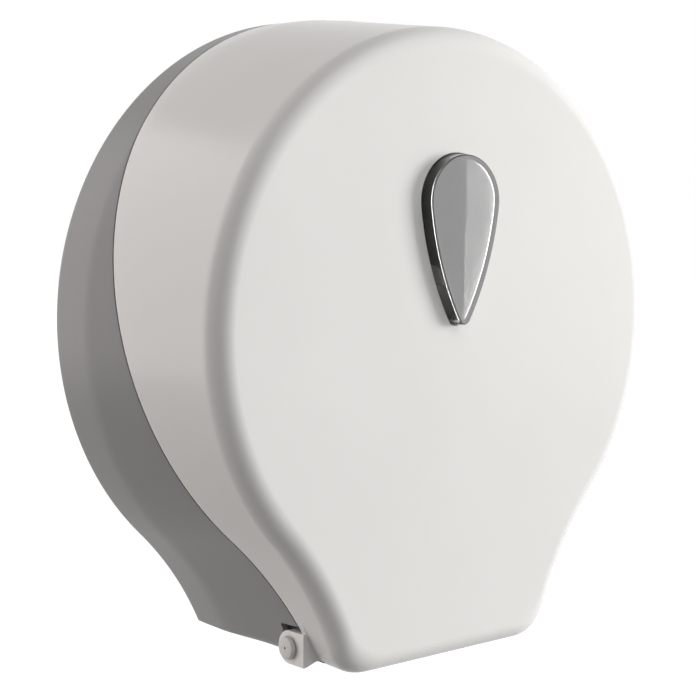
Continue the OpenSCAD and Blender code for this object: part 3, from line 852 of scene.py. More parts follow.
@dataclass(frozen=True)
class HousingShape:
    """Outline of the housing: round above, hollow-sided skirt below."""

    body_r: float = 135.0
    body_depth: float = 105.0
    wall: float = 3.0
    draft: float = 7.7
    draft_start: float = 24.0
    edge_r: float = 10.0
    skirt_back: float = 46.0
    skirt_front: float = 42.0
    skirt_r: float = 152.0
    drop_back: float = 7.6
    drop_front: float = 13.8
    drop_level: float = 45.0
    corner_len: float = 14.0
    seam_depth: float = 45.5
    seam_slope: float = 0.28
    seam_gap: float = 0.5
    edge_break: float = 0.3
    trim: float = 0.1
    round_steps: int = 136
    skirt_steps: int = 36
    corner_steps: int = 14

    @property
    def edge_depth(self) -> float:
        """Depth at which the rounding of the front edge starts."""
        return self.body_depth - self.edge_r

    @property
    def bottom_front(self) -> float:
        """Height of the roll axis above the bottom edge, at the front."""
        return self.body_r + self.drop_front

    def side_inset(self, depth: float) -> float:
        """Distance that the sides have leaned in at a depth."""
        run = max(0.0, min(depth, self.edge_depth) - self.draft_start)
        return self.draft * run / (self.edge_depth - self.draft_start)

    def bottom_at(self, depth: float) -> float:
        """Height of the roll axis above the bottom edge at a depth."""
        share = max(0.0, depth - self.drop_level) / (self.body_depth - self.drop_level)
        return self.body_r + self.drop_back + (self.drop_front - self.drop_back) * share ** 1.5

    def skirt_angle(self, depth: float) -> float:
        """Angle below horizontal, in radians, where the round meets the skirt."""
        share = depth / self.body_depth
        return math.radians(self.skirt_back + (self.skirt_front - self.skirt_back) * share)

    def seam_at(self, height: float) -> float:
        """Depth of the seam at a height."""
        return self.seam_depth - self.seam_slope * height

    def half_outline(self, k: int, depth: float, inset: float, lift: float) -> Flat:
        """Point k of the right half of the outline, from the top down.

        Args:
            k: Index of the point.
            depth: Depth of the section.
            inset: Distance that the sides are drawn in.
            lift: Distance that the bottom is raised.

        Returns:
            The point's x and z.
        """
        a = self.skirt_angle(depth)
        if k <= self.round_steps:
            t = math.pi / 2 - (math.pi / 2 + a) * k / self.round_steps
            r = self.body_r - inset
            return (r * math.cos(t), r * math.sin(t))
        s = self.skirt_r + inset
        join = self.body_r + self.skirt_r
        cx, cz = join * math.cos(a), -join * math.sin(a)
        floor = lift - self.bottom_at(depth)
        end = math.pi - math.asin((floor - cz) / s)
        length = 1.5 + self.corner_len * (depth / self.body_depth) ** 2
        cut = end - length / s
        if k <= self.round_steps + self.skirt_steps:
            u = (k - self.round_steps) / self.skirt_steps
            t = math.pi - a + (cut - math.pi + a) * u
            return (cx + s * math.cos(t), cz + s * math.sin(t))
        u = (k - self.round_steps - self.skirt_steps) / self.corner_steps
        start = (cx + s * math.cos(cut), cz + s * math.sin(cut))
        corner = (cx + s * math.cos(end), floor)
        last = (corner[0] - length, floor)
        return curve(start, corner, last, u)

    def ring(self, wall: float, depth_of: Callable[[float], float]) -> Ring:
        """Closed line round the housing.

        Args:
            wall: Distance inside the outer surface.
            depth_of: Depth of the line at a given height.

        Returns:
            The ring's points, from the top clockwise as seen from the front.
        """
        half = self.round_steps + self.skirt_steps + self.corner_steps + 1
        off = wall + self.trim
        right = []
        for k in range(half):
            depth = self.seam_depth
            for _ in range(4):
                x, z = self.half_outline(k, depth, self.side_inset(depth) + off, off)
                depth = depth_of(z)
            right.append((x, -depth, z))
        return right + [(-x, y, z) for x, y, z in reversed(right[1:])]

    def flat_ring(self, wall: float, depth: float) -> Ring:
        """Line round the housing at one depth."""
        return self.ring(wall, lambda _: depth)

    def seam_ring(self, wall: float, past: float) -> Ring:
        """Line that follows the seam, a distance in front of it."""
        return self.ring(wall, lambda z: self.seam_at(z) + past)

    def side_at(self, k: int, depth: float) -> Flat:
        """Point k of the right half of the outer surface at a depth."""
        off = self.trim
        return self.half_outline(k, depth, self.side_inset(depth) + off, off)

    def edge_ring(self, angle: float, wall: float) -> Ring:
        """Line on the rounded front edge, at an angle of its quarter circle."""
        r = self.edge_r - wall
        t = math.radians(angle)
        return self.flat_ring(wall + r * (1 - math.cos(t)), self.edge_depth + r * math.sin(t))


@dataclass
class Outlet:
    """The paper opening through the bottom of base and cover."""

    width: float = 88.0
    back: float = 10.0
    front: float = 96.0
    corner: float = 6.0
    ledge_top: float = -138.2

    def tool(self) -> Solid:
        """Cutter for the opening."""
        half = self.width / 2
        outline = rounded_rectangle((-half, -self.front), (half, -self.back), self.corner, 12)
        return Solid.prism(outline, Axis.UP, -156.0, self.ledge_top + 8)


@dataclass
class HingeSizes:
    """Places and sizes that pins, ears and lugs share."""

    depth: float = 75.5
    height: float = -137.5
    pin_r: float = 3.0
    head_r: float = 5.0
    head_h: float = 2.0
    ear_r: float = 7.2
    ear_front: float = 9.8
    ear_outer: float = 67.4
    ear_wall: float = 8.4
    ear_gap: float = 2.5
    back_gap: float = 1.4
    lug_len: float = 10.5
    lug_r: float = 7.0
    face_gap: float = 0.3

    @property
    def centre(self) -> Flat:
        """The pin's axis, as y and z."""
        return (-self.depth, self.height)

    @property
    def lug_outer(self) -> float:
        """Distance from the middle to the lugs' outer faces."""
        return self.ear_outer - self.ear_wall - 0.4

    @property
    def lug_inner(self) -> float:
        """Distance from the middle to the lugs' inner faces."""
        return self.lug_outer - self.lug_len

    @property
    def ear_inner(self) -> float:
        """Distance from the middle to the ears' inner faces."""
        return self.ear_outer - self.ear_wall

    @property
    def ledge_front(self) -> float:
        """Depth at which the ledges under the blades end."""
        return self.depth - self.ear_r - self.ear_gap


@dataclass
class LockSizes:
    """Places along the lock's axis that lock, cover and base share."""

    depth: float = 26.0
    head_z: float = 133.78
    seat_z: float = 132.18
    boss_bottom: float = 124.18
    barrel_bottom: float = 118.18
    cam_t: float = 2.0
    pad_start: float = 18.0
    pad_len: float = 18.0
    pad_face: float = 6.0

    @property
    def centre(self) -> Flat:
        """The lock's axis, as x and y."""
        return (0.0, -self.depth)

    @property
    def keeper_z(self) -> float:
        """Height of the keeper's middle."""
        return self.barrel_bottom - self.cam_t


@dataclass
class WallBase:
    """Grey base that hangs on the wall."""

    shape: HousingShape
    hinge: HingeSizes
    outlet: Outlet
    lock: LockSizes
    wheel: WheelTree
    back_levels: int = 16
    rib_h: float = 3.0
    rib_t: float = 2.0
    rib_count: int = 8
    rib_start: float = 34.0
    rib_ring_r: float = 67.5
    fixing_at: float = 60.0
    fixing_r: float = 2.75
    fixing_pad_r: float = 9.0
    post_pad_r: float = 36.0
    lip_reach: float = 4.0
    lip_wall: float = 1.8
    lip_gap: float = 0.6
    lip_bottom: float = -60.0
    lock_relief: float = 16.0
    keeper_half: float = 9.0
    slot_corner: float = 1.5

    @property
    def fixings(self) -> list[Flat]:
        """X and z of the four wall screws."""
        at = self.fixing_at
        return [(x, z) for x in (-at, at) for z in (-at, at)]

    def shell(self) -> Piece:
        """The open tub, with a softened wall edge and seam edge."""
        shape, wall, n = self.shape, self.shape.wall, self.back_levels

        def between(inset: float, start: float, share: float) -> Ring:
            """Line at a share of the way from a depth to the seam."""
            return shape.ring(inset, lambda z: start + share * (shape.seam_at(z) - start))

        e = shape.edge_break
        outer = [shape.flat_ring(w, d) for w, d in ((2 * e, 0.0), (0.6 * e, 0.6 * e), (0.0, 2 * e))]
        outer += [between(0.0, 2 * e, i / n) for i in range(1, n)]
        outer += [shape.seam_ring(w, d) for w, d in ((0.0, -e), (0.3 * e, -0.3 * e), (e, 0.0))]
        inner = [shape.seam_ring(wall, 0.0)]
        inner += [between(wall, wall, i / n) for i in range(n - 1, 0, -1)]
        inner += [shape.flat_ring(wall + 0.3, wall + 0.3), shape.flat_ring(wall + 1.2, wall)]
        return Solid.skin(outer + inner, (0, 0, 0), (0, -wall, 0)).to_object("base_shell")

    def lip(self) -> Piece:
        """The thin lip that reaches under the cover along the seam."""
        shape = self.shape
        outer = shape.wall + self.lip_gap
        inner = outer + self.lip_wall
        root = shape.wall - 0.8
        past = [(root, -6.0), (root, -0.4), (outer, -0.4), (outer, self.lip_reach - 0.4),
                (outer + 0.4, self.lip_reach), (inner - 0.3, self.lip_reach),
                (inner, self.lip_reach - 0.3), (inner, -4.5)]
        lip = Solid.skin([shape.seam_ring(w, p) for w, p in past]).to_object("lip")
        far, relief = shape.body_r + 5, self.lock_relief
        combine(lip, [Solid.box((-far, -120, -160), (far, 1, self.lip_bottom)),
                      Solid.box((-far, -1.5, -160), (far, 20, 140)),
                      Solid.box((-relief, -120, 70), (relief, 1, 150))], Cut.TAKE)
        return lip

    def ribs(self) -> list[Tool]:
        """Radial ribs, ring rib and pads on the back plate."""
        low, high, start = self.shape.wall - 0.5, self.shape.wall + self.rib_h, self.rib_start
        reach, r = self.shape.body_r * 0.8, self.rib_ring_r
        rib = WheelTree.fin("ribs", [(start, low), (reach, low), (reach, high - 0.8),
                                     (reach - 0.8, high), (start, high)])
        ring = [(r, low), (r + self.rib_t, low), (r + self.rib_t, high), (r, high)]
        made = [self.wheel.grow(rib, Count=self.rib_count, Thickness=self.rib_t * MM),
                Solid.lathe(ring, Axis.FORWARD, steps=144)]
        pads = [((0.0, 0.0), self.post_pad_r), *((at, self.fixing_pad_r) for at in self.fixings)]
        for centre, r in pads:
            profile = [(0, low), (r + 0.4, low), (r, high - 0.5), (r - 0.5, high), (0, high)]
            made.append(Solid.lathe(profile, Axis.FORWARD, centre, 96))
        return made

    def fittings(self) -> list[Solid]:
        """Hinge lugs, cutter ledges and the keeper's pad."""
        shape, hinge, lock, half = self.shape, self.hinge, self.lock, self.keeper_half
        foot, (y, _), r = 1 - shape.bottom_at(hinge.depth), hinge.centre, hinge.lug_r
        outline = arc(hinge.centre, r, 0, math.pi, 18) + [(y - r, foot), (y + r, foot)]
        lug = Solid.prism(outline, Axis.ACROSS, hinge.lug_inner, hinge.lug_outer)
        ledge = Solid.box(
            (self.outlet.width / 2, -hinge.ledge_front, 1 - shape.body_r - shape.drop_back),
            (hinge.lug_outer, -1.5, self.outlet.ledge_top))
        start, end, mid = lock.pad_start, lock.pad_start + lock.pad_len, lock.keeper_z
        pad = Solid.box((start, -lock.pad_face, mid - half), (end, -2.0, mid + half))
        return [*lug.both(), *ledge.both(), pad]

    def cuts(self) -> list[Solid]:
        """Outlet, swing room, ear notches, pin bores and wall screw holes."""
        hinge, corner = self.hinge, self.slot_corner
        (y, z), side, back_r = hinge.centre, hinge.lug_outer + 1, hinge.ear_r + hinge.back_gap
        low, high = hinge.lug_outer, hinge.lug_outer + 40
        far, top = -self.shape.body_depth, z + hinge.ear_r + hinge.ear_gap
        back = y + hinge.ear_r - hinge.ear_gap + 1.2
        slot = [(back, z), *arc((back - corner, top - corner), corner, 0, math.pi / 2, 6),
                (far, top), (far, z)]
        made = [self.outlet.tool(),
                Solid.box((-side, -120, -156), (side, y - hinge.lug_r - 1.5, -134))]
        for solid in (Solid.prism(slot, Axis.ACROSS, low, high),
                      Solid.rod(back_r, low, high, Axis.ACROSS, hinge.centre, 96),
                      Solid.box((low, far, z - 25), (high, y + back_r, z)),
                      Solid.rod(hinge.pin_r + FIT, hinge.lug_inner + 1.5, 70, Axis.ACROSS,
                                hinge.centre)):
            made += solid.both()
        r, wide = self.fixing_r, self.fixing_r + 0.6
        hole = [(0, -1), (wide, -1), (wide, 0), (r, 0.6), (r, 5.5), (wide, 6.1), (wide, 8), (0, 8)]
        return made + [Solid.lathe(hole, Axis.FORWARD, at, 48) for at in self.fixings]

    def build(self, finishes: Finishes) -> None:
        """Joins, cuts and dresses the base."""
        shell = self.shell()
        combine(shell, [self.lip(), *self.ribs(), *self.fittings()], Cut.ADD)
        combine(shell, self.cuts(), Cut.TAKE)
        hand_over(shell, Body.BASE, finishes, Slot.GREY_PLASTIC, "rear_base")


@dataclass
class TeardropShape:
    """Outline of the window: round top and tip joined by slightly curved sides."""

    top: float = 73.0
    tip: float = -1.0
    top_r: float = 20.5
    tip_r: float = 4.0
    side_r: float = 130.0
    round_steps: int = 40
    side_steps: int = 24
    tip_steps: int = 16

    @property
    def middle(self) -> float:
        """Height of the centre of the round top."""
        return self.top - self.top_r

    def outline(self, inset: float) -> list[Flat]:
        """Closed outline, drawn in by inset.

        Args:
            inset: Distance inside the window's edge.

        Returns:
            The outline's x and z, from the top clockwise.
        """
        a, b = self.side_r - self.top_r, self.side_r - self.tip_r
        low = self.tip + self.tip_r
        h = self.middle - low
        z = (b * b - a * a - h * h) / (2 * h)
        cx, cz = -math.sqrt(a * a - z * z), self.middle + z
        top_a, tip_a = math.atan2(self.middle - cz, -cx), math.atan2(low - cz, -cx)
        right = arc((0, self.middle), self.top_r - inset, math.pi / 2, top_a, self.round_steps)
        right += arc((cx, cz), self.side_r - inset, top_a, tip_a, self.side_steps)[1:-1]
        right += arc((0, low), self.tip_r - inset, tip_a, -math.pi / 2, self.tip_steps)
        return right + [(-x, z) for x, z in reversed(right[1:-1])]

    def rings(self, *steps: Flat) -> list[Ring]:
        """The outline at several pairs of depth and inset."""
        return [[(x, -depth, z) for x, z in self.outline(inset)] for depth, inset in steps]


@dataclass
class FrontCover:
    """White cover that tips forward on the hinge pins."""

    shape: HousingShape
    hinge: HingeSizes
    outlet: Outlet
    lock: LockSizes
    window: TeardropShape
    levels: int = 14
    edge_levels: int = 12
    boss_r: float = 14.0
    pocket_r: float = 11.5
    bore_r: float = 8.1
    stake_r: float = 1.6
    stake_out: float = 5.5
    lens_seat: float = 102.0
    floor_clear: float = 13.2
    blend_w: float = 2.6
    blend_steps: int = 10

    def shell(self) -> Piece:
        """The hollow cover with its rounded front edge and softened seam edge."""
        shape, wall, n, m = self.shape, self.shape.wall, self.levels, self.edge_levels

        def between(inset: float, share: float) -> Ring:
            """Line at a share of the way from the seam to the front edge."""
            def depth_of(z: float) -> float:
                """Depth of the line at a height."""
                start = shape.seam_at(z) + shape.seam_gap
                return start + share * (shape.edge_depth - start)
            return shape.ring(inset, depth_of)

        rings = [shape.edge_ring(90 - 90 * i / m, wall) for i in range(m)]
        rings += [between(wall, 1 - i / n) for i in range(n)]
        gap, e = shape.seam_gap, shape.edge_break
        rings += [shape.seam_ring(w, gap + past)
                  for w, past in ((wall, 0.0), (e, 0.0), (0.3 * e, 0.3 * e), (0.0, e))]
        rings += [between(0.0, i / n) for i in range(1, n + 1)]
        rings += [shape.edge_ring(90 * i / m, 0.0) for i in range(1, m + 1)]
        back, front = (0, -self.lens_seat, 0), (0, -shape.body_depth, 0)
        return Solid.skin(rings, back, front).to_object("cover_shell")

    def ears(self) -> list[Tool]:
        """Hinge ears, their roots in the wall, the gussets and the blends."""
        hinge, front_wall, made = self.hinge, self.outlet.front, []
        (y, z), r, inner = hinge.centre, hinge.ear_r, hinge.ear_inner
        front, foot = y - hinge.ear_front, z - r
        outline = arc(hinge.centre, r, -math.pi / 2, math.pi / 2, 30)
        outline += [(front, z + r), (front, foot)]
        wedge = [(66.0, foot), (58.0, foot + 2.6), (58.0, foot - 4), (66.0, foot - 4)]
        for ear, tool in zip(Solid.prism(outline, Axis.ACROSS, inner, hinge.ear_outer).both(),
                             Solid.prism(wedge, Axis.FORWARD, 60.0, 90.0).both()):
            made.append(ear.to_object("ear"))
            combine(made[-1], [tool], Cut.TAKE)
            soften(made[-1], 0.5, 3)
        low, edge = 1 - self.shape.bottom_front, self.outlet.width / 2
        gusset = [(edge + 6, low + 3), (edge + 10, low + 3), (inner - 0.5, z - 2.5),
                  (inner + 0.5, z + r), (inner - 3, z + r), (edge + 6, z - 1)]
        for solid in (
                Solid.box((inner, front - 7, z - 0.5), (inner + 1.8, front + 1, z - 0.5 + r)),
                Solid.prism(gusset, Axis.FORWARD, front_wall - 6.5, front_wall - 3.5),
                self.blend()):
            made += solid.both()
        return made

    def blend(self) -> Solid:
        """Hollow blend from the front of an ear to the wall, wider towards the bottom."""
        shape, hinge, steps = self.shape, self.hinge, self.blend_steps
        start = hinge.depth + hinge.ear_front
        corner = shape.round_steps + shape.skirt_steps
        rings = []
        for k in range(corner - 8, corner + 7):
            share = (k - corner + 9) / 18
            front = start + self.blend_w * share
            (x, z), (wall_x, _) = shape.side_at(k, start), shape.side_at(k, front)
            ear = x + 2.2 * self.blend_w * share ** 2
            bend = (x * 0.55 + (ear + wall_x) * 0.225, start * 0.55 + (start + front) * 0.225)
            line = [(ear, start - 1), (max(hinge.ear_inner, x - 1), start - 1), (wall_x - 1, front)]
            line += [curve((ear, start), bend, (wall_x, front), i / steps)
                     for i in range(steps, -1, -1)]
            rings.append([(u, -depth, z) for u, depth in line])
        ends = [tuple(sum(c) / len(ring) for c in zip(*ring)) for ring in (rings[0], rings[-1])]
        return Solid.skin(rings, ends[0], ends[1])

    def cuts(self) -> list[Solid]:
        """Outlet, window, lock pocket and pin bores."""
        hinge, pane = self.hinge, self.window
        window = pane.rings((95.0, -0.2), (104.4, -0.2), (104.8, -0.35), (105.0, -0.8),
                            (112.0, -0.8))
        low, seat, top = self.lock.boss_bottom - 1, self.lock.seat_z, 145.0
        bore, pocket = self.bore_r, self.pocket_r
        well = [(0, low), (bore, low), (bore, seat), (pocket, seat), (pocket, top), (0, top)]
        return [
            self.outlet.tool(),
            Solid.skin(window, (0, -95.0, pane.middle), (0, -112.0, pane.middle)),
            Solid.lathe(well, Axis.UP, self.lock.centre),
            *(Solid.rod(hinge.pin_r + 0.05, sign * 52, sign * 72, Axis.ACROSS, hinge.centre, 48)
              for sign in (-1, 1)),
        ]

    def lug_room(self) -> Solid:
        """Cutter that frees the floor round the base's lugs."""
        side, back = self.hinge.lug_outer + 0.2, -self.hinge.depth
        return Solid.box((-side, back - self.floor_clear, -156),
                         (side, back, 15 - self.shape.bottom_front))

    def stakes(self) -> list[Solid]:
        """Lock boss and the heat-formed stakes that hold the lens."""
        low, top, r = self.lock.boss_bottom, self.lock.seat_z + 1, self.boss_r
        boss = [(0, low), (r - 0.5, low), (r, low + 0.5), (r, top), (0, top)]
        pane, out, r, seat = self.window, self.stake_out, self.stake_r, self.lens_seat
        centres = [(0, pane.top + out), (-pane.top_r - out, pane.middle),
                   (pane.top_r + out, pane.middle), (0, pane.tip - out)]
        stake = [(0, seat - 3.7), (r * 0.7, seat - 3.7), (r + 0.7, seat - 3.2),
                 (r + 1, seat - 2.5), (r, seat - 2.3), (r, seat + 1), (0, seat + 1)]
        return [Solid.lathe(boss, Axis.UP, self.lock.centre),
                *(Solid.lathe(stake, Axis.FORWARD, centre, 32) for centre in centres)]

    def build(self, finishes: Finishes) -> None:
        """Joins, cuts and dresses the cover."""
        shell = self.shell()
        combine(shell, [self.lug_room()], Cut.TAKE)
        combine(shell, [*self.ears(), *self.stakes()], Cut.ADD)
        combine(shell, self.cuts(), Cut.TAKE)
        hand_over(shell, Body.COVER, finishes, Slot.WHITE_PLASTIC, "front_cover")


@dataclass
class WindowLens:
    """Smoked cap that stands out of the cover, with its hidden flange."""

    window: TeardropShape
    seat: float = 102.0
    face: float = 111.0
    wall: float = 2.0
    draft: float = 0.5
    flange: float = 4.0
    rim_r: float = 0.7

    def build(self, finishes: Finishes) -> None:
        """Skins and dresses the lens."""
        pane, wall, face, seat, lean = self.window, self.wall, self.face, self.seat, self.draft
        back, inner, out, r = seat - wall, face - wall, -self.flange, self.rim_r
        turns = [math.radians(90 * i / 8) for i in range(9)]
        rings = pane.rings(
            (inner, lean + wall + 0.6), (inner - 0.2, lean + wall + 0.15),
            (inner - 0.7, lean + wall), (back + 0.3, wall), (back, wall - 0.3), (back, out + 0.3),
            (back + 0.3, out), (seat - 0.3, out), (seat, out + 0.3), (seat, -0.15),
            (seat + 0.3, 0.0),
            *((face - r + r * math.sin(t), lean + r * (1 - math.cos(t))) for t in turns))
        middle = pane.middle - 10
        lens = Solid.skin(rings, (0, -inner, middle), (0, -face, middle)).to_object("lens_cap")
        hand_over(lens, Body.COVER, finishes, Slot.SMOKED_LENS, "window_lens")


@dataclass
class HingePins:
    """Two headed pins that carry the cover."""

    hinge: HingeSizes

    def build(self, finishes: Finishes) -> None:
        """Turns and dresses both pins."""
        h, r, pin = self.hinge, self.hinge.head_r, self.hinge.pin_r
        out, start = h.ear_outer + h.face_gap, h.lug_inner + 2
        end = out + h.head_h
        profile = [(0, start), (pin - 0.5, start), (pin, start + 0.5), (pin, out - 0.2),
                   (pin + 0.2, out), (r - 0.2, out), (r, out + 0.2), (r, out + h.head_h * 0.5),
                   (r - 0.1, out + h.head_h * 0.7), (r - 0.4, out + h.head_h * 0.88),
                   (r - 1.0, end), (0.6, end), (0.5, end - 0.9), (0, end - 0.9)]
        for side, sign in (("right", 1), ("left", -1)):
            turned = [(radius, sign * x) for radius, x in profile]
            pin = Solid.lathe(turned, Axis.ACROSS, h.centre, 64).to_object(f"pin_{side}")
            hand_over(pin, Body.BASE, finishes, Slot.PIN_PLASTIC, f"hinge_pin_{side}")


@dataclass
class ScrewSet:
    """One kind of screw at several places."""

    name: str
    places: Sequence[Point]
    axis: Point
    head_r: float
    head_h: float
    shank_r: float
    shank_len: float
    crown: float = 0.7

    def build(self, tree: ScrewTree, finishes: Finishes, body: Body, node: str) -> None:
        """Grows the screws and dresses them.

        Args:
            tree: The screw tree.
            finishes: The materials.
            body: Body that they ride on.
            node: Node that they replace.
        """
        obj = Solid(list(self.places)).to_object(self.name)
        tree.grow(obj, Head_Radius=self.head_r * MM, Head_Height=self.head_h * MM,
                  Shank_Radius=self.shank_r * MM, Shank_Length=self.shank_len * MM,
                  Recess=self.head_r * 0.24 * MM, Crown=self.crown, Axis=self.axis,
                  Finish=finishes[Slot.ZINC_STEEL])
        hand_over(obj, body, finishes, Slot.ZINC_STEEL, node)


@dataclass
class RollHub:
    """Fixed post, its washer, cap and screws, and the finned hub that turns on it."""

    screws: ScrewTree
    wheel: WheelTree
    post_r: float = 13.0
    flange_r: float = 34.0
    flange_t: float = 3.5
    seat: float = 6.0
    washer_t: float = 1.5
    fin_r: float = 27.0
    fin_t: float = 3.0
    fin_count: int = 6
    sleeve_t: float = 2.4
    disc_r: float = 42.0
    disc_t: float = 2.4
    cap_back: float = 90.0
    cap_t: float = 3.0
    taper: float = 8.0
    face_gap: float = 0.3
    screw_r: float = 2.0
    sunk_head: float = 1.98

    @property
    def top(self) -> float:
        """Depth of the flange's face."""
        return self.seat + self.flange_t

    @property
    def flange_places(self) -> list[Flat]:
        """X and z of the flange's screws."""
        ring_r = (self.post_r + self.flange_r) / 2 + 2.5
        return arc((0, 0), ring_r, math.pi / 4, 7 * math.pi / 4, 3)

    def post(self, finishes: Finishes) -> None:
        """The hollow post and its flange."""
        top, seat, s, wide = self.top, self.seat, self.screw_r + 0.2, 2 * self.screw_r + 0.3
        r, f, end, hollow = self.post_r, self.flange_r, self.cap_back, self.cap_back - 10
        profile = [(0, hollow), (r - 4, hollow), (r - 3, hollow - 1), (r - 3, seat),
                   (f - 0.5, seat), (f, seat + 0.5), (f, top - 0.8), (f - 0.8, top),
                   (r, top), (r, end - 0.6), (r - 0.6, end), (0, end)]
        post = Solid.lathe(profile, Axis.FORWARD, steps=128).to_object("post")
        hole = [(0, seat - 1), (s, seat - 1), (s, top - 2.05), (wide, top + 0.05),
                (wide, top + 1), (0, top + 1)]
        combine(post, [Solid.lathe(hole, Axis.FORWARD, at, 40) for at in self.flange_places],
                Cut.TAKE)
        hand_over(post, Body.BASE, finishes, Slot.GREY_PLASTIC, "spindle_post")

    def core(self, finishes: Finishes) -> None:
        """Sleeve, disc and fins of the turning hub."""
        back, front = self.top + self.washer_t + self.face_gap, self.cap_back - self.face_gap
        bore, disc, face = self.post_r + 0.05, self.disc_r, back + self.disc_t
        out = bore + self.sleeve_t
        profile = [(bore, back), (disc - 0.5, back), (disc, back + 0.5), (disc, face - 0.6),
                   (disc - 0.6, face), (out + 1.5, face), (out, face + 1.5), (out, front - 0.6),
                   (out - 0.6, front), (bore + 0.4, front), (bore, front - 0.4)]
        hub = Solid.lathe(profile, Axis.FORWARD, steps=128).to_object("hub_core")
        root, r, end = self.post_r + 1, self.fin_r, front - self.taper
        fin = WheelTree.fin("fins", [
            (root, back + 0.5), (r, back + 0.5), (r, end - 2), (r - 0.8, end),
            (r - self.taper, front - 0.6), (r - self.taper - 0.8, front - 0.1),
            (root, front - 0.1)])
        self.wheel.grow(fin, Count=self.fin_count, Thickness=self.fin_t * MM)
        soften(fin, 0.5)
        combine(hub, [fin], Cut.ADD)
        turn = math.pi / self.fin_count
        places = arc((0, 0), (r + disc) / 2, turn, turn + 2 * math.pi, self.fin_count)[:-1]
        combine(hub, [Solid.rod(4, back - 1, face + 1, Axis.FORWARD, at, 40) for at in places],
                Cut.TAKE)
        hand_over(hub, Body.HUB, finishes, Slot.WHITE_PLASTIC, "core_hub")

    def build(self, finishes: Finishes) -> None:
        """Builds the post, washer, hub, cap and screws."""
        self.post(finishes)
        top, far, s = self.top, self.top + self.washer_t, self.screw_r
        bore, rim = self.post_r + 0.1, self.post_r + 6
        profile = [(bore, top), (rim - 0.3, top), (rim, top + 0.3), (rim, far - 0.3),
                   (rim - 0.3, far), (bore, far)]
        washer = Solid.lathe(profile, Axis.FORWARD, steps=96).to_object("hub_washer")
        hand_over(washer, Body.BASE, finishes, Slot.WASHER_RUBBER, "friction_washer")
        self.core(finishes)
        back, front = self.cap_back, self.cap_back + self.cap_t
        hole, r = s + 0.2, self.post_r + 4
        profile = [(hole, back), (r - 0.3, back), (r, back + 0.3), (r, front - 1),
                   (r - 0.3, front - 0.3), (r - 1, front), (7.0, front), (6.4, front - 0.25),
                   (5.4, front), (hole + 0.2, front), (hole, front - 0.2)]
        cap = Solid.lathe(profile, Axis.FORWARD, steps=96).to_object("post_cap")
        hand_over(cap, Body.BASE, finishes, Slot.GREY_PLASTIC, "hub_cap")
        forward, sunk = (0.0, -1.0, 0.0), self.sunk_head
        places = [(x, sunk - top + 0.05, z) for x, z in self.flange_places]
        ScrewSet("post_screws", places, forward, 2 * s, sunk, s, 5.6, 0.15).build(
            self.screws, finishes, Body.BASE, "spindle_screws")
        ScrewSet("cap_screw", [(0.0, -front, 0.0)], forward, 2 * s, 2.4, s,
                 self.cap_t + 10).build(self.screws, finishes, Body.BASE, "hub_cap_screw")


@dataclass
class Cutters:
    """Serrated steel blades on both sides of the outlet, and their screws."""

    hinge: HingeSizes
    outlet: Outlet
    teeth: ToothTree
    screws: ScrewTree
    pitch: float = 3.0
    tooth_h: float = 2.6
    thick: float = 1.0
    screw_r: float = 1.6

    def screw_places(self) -> list[Flat]:
        """X and y of the right-hand screws."""
        x = (self.outlet.width / 2 + self.hinge.lug_outer) / 2 + 1
        return [(x, -self.outlet.back - 12), (x, 10 - self.hinge.ledge_front)]

    def blade(self, side: str, sign: int, finishes: Finishes) -> None:
        """One blade: a plate with two holes and its row of teeth.

        Args:
            side: Name of its side.
            sign: 1 on the right and -1 on the left.
            finishes: The materials.
        """
        hinge, pitch, low = self.hinge, self.pitch, self.outlet.ledge_top
        front, step = hinge.depth + hinge.lug_r, hinge.ledge_front - 0.5
        count = int((front - self.outlet.back - 2) // pitch)
        start, edge = front - count * pitch, self.outlet.width / 2 + 0.2 * pitch
        outer, narrow = hinge.lug_outer - 1, hinge.lug_inner - 0.5
        outline = [(edge, -front), (narrow, -front), (narrow, -step), (outer, -step),
                   (outer, -start), (edge, -start)]
        plate = Solid.prism([(sign * x, y) for x, y in outline], Axis.UP, low,
                            low + self.thick).to_object(f"cutter_{side}")
        combine(plate, [Solid.rod(self.screw_r + 0.2, low - 1, low + 3, Axis.UP, (sign * x, y), 32)
                        for x, y in self.screw_places()], Cut.TAKE)
        self.teeth.grow(
            plate, Count=count, Pitch=pitch * MM, Height=self.tooth_h * MM,
            Thickness=self.thick * MM, Side=math.pi if sign > 0 else 0.0,
            Start=(sign * edge * MM, (pitch / 2 - front) * MM, (low + self.thick / 2) * MM),
            Finish=finishes[Slot.BLADE_STEEL])
        hand_over(plate, Body.BASE, finishes, Slot.BLADE_STEEL, f"cutter_blade_{side}")

    def build(self, finishes: Finishes) -> None:
        """Builds both blades and their screws."""
        self.blade("right", 1, finishes)
        self.blade("left", -1, finishes)
        top = self.outlet.ledge_top + self.thick
        places = [(sign * x, y, top) for sign in (-1, 1) for x, y in self.screw_places()]
        ScrewSet("cutter_screws", places, (0.0, 0.0, 1.0), 2 * self.screw_r, 1.8, self.screw_r,
                 self.thick + 3).build(self.screws, finishes, Body.BASE, "blade_screws")


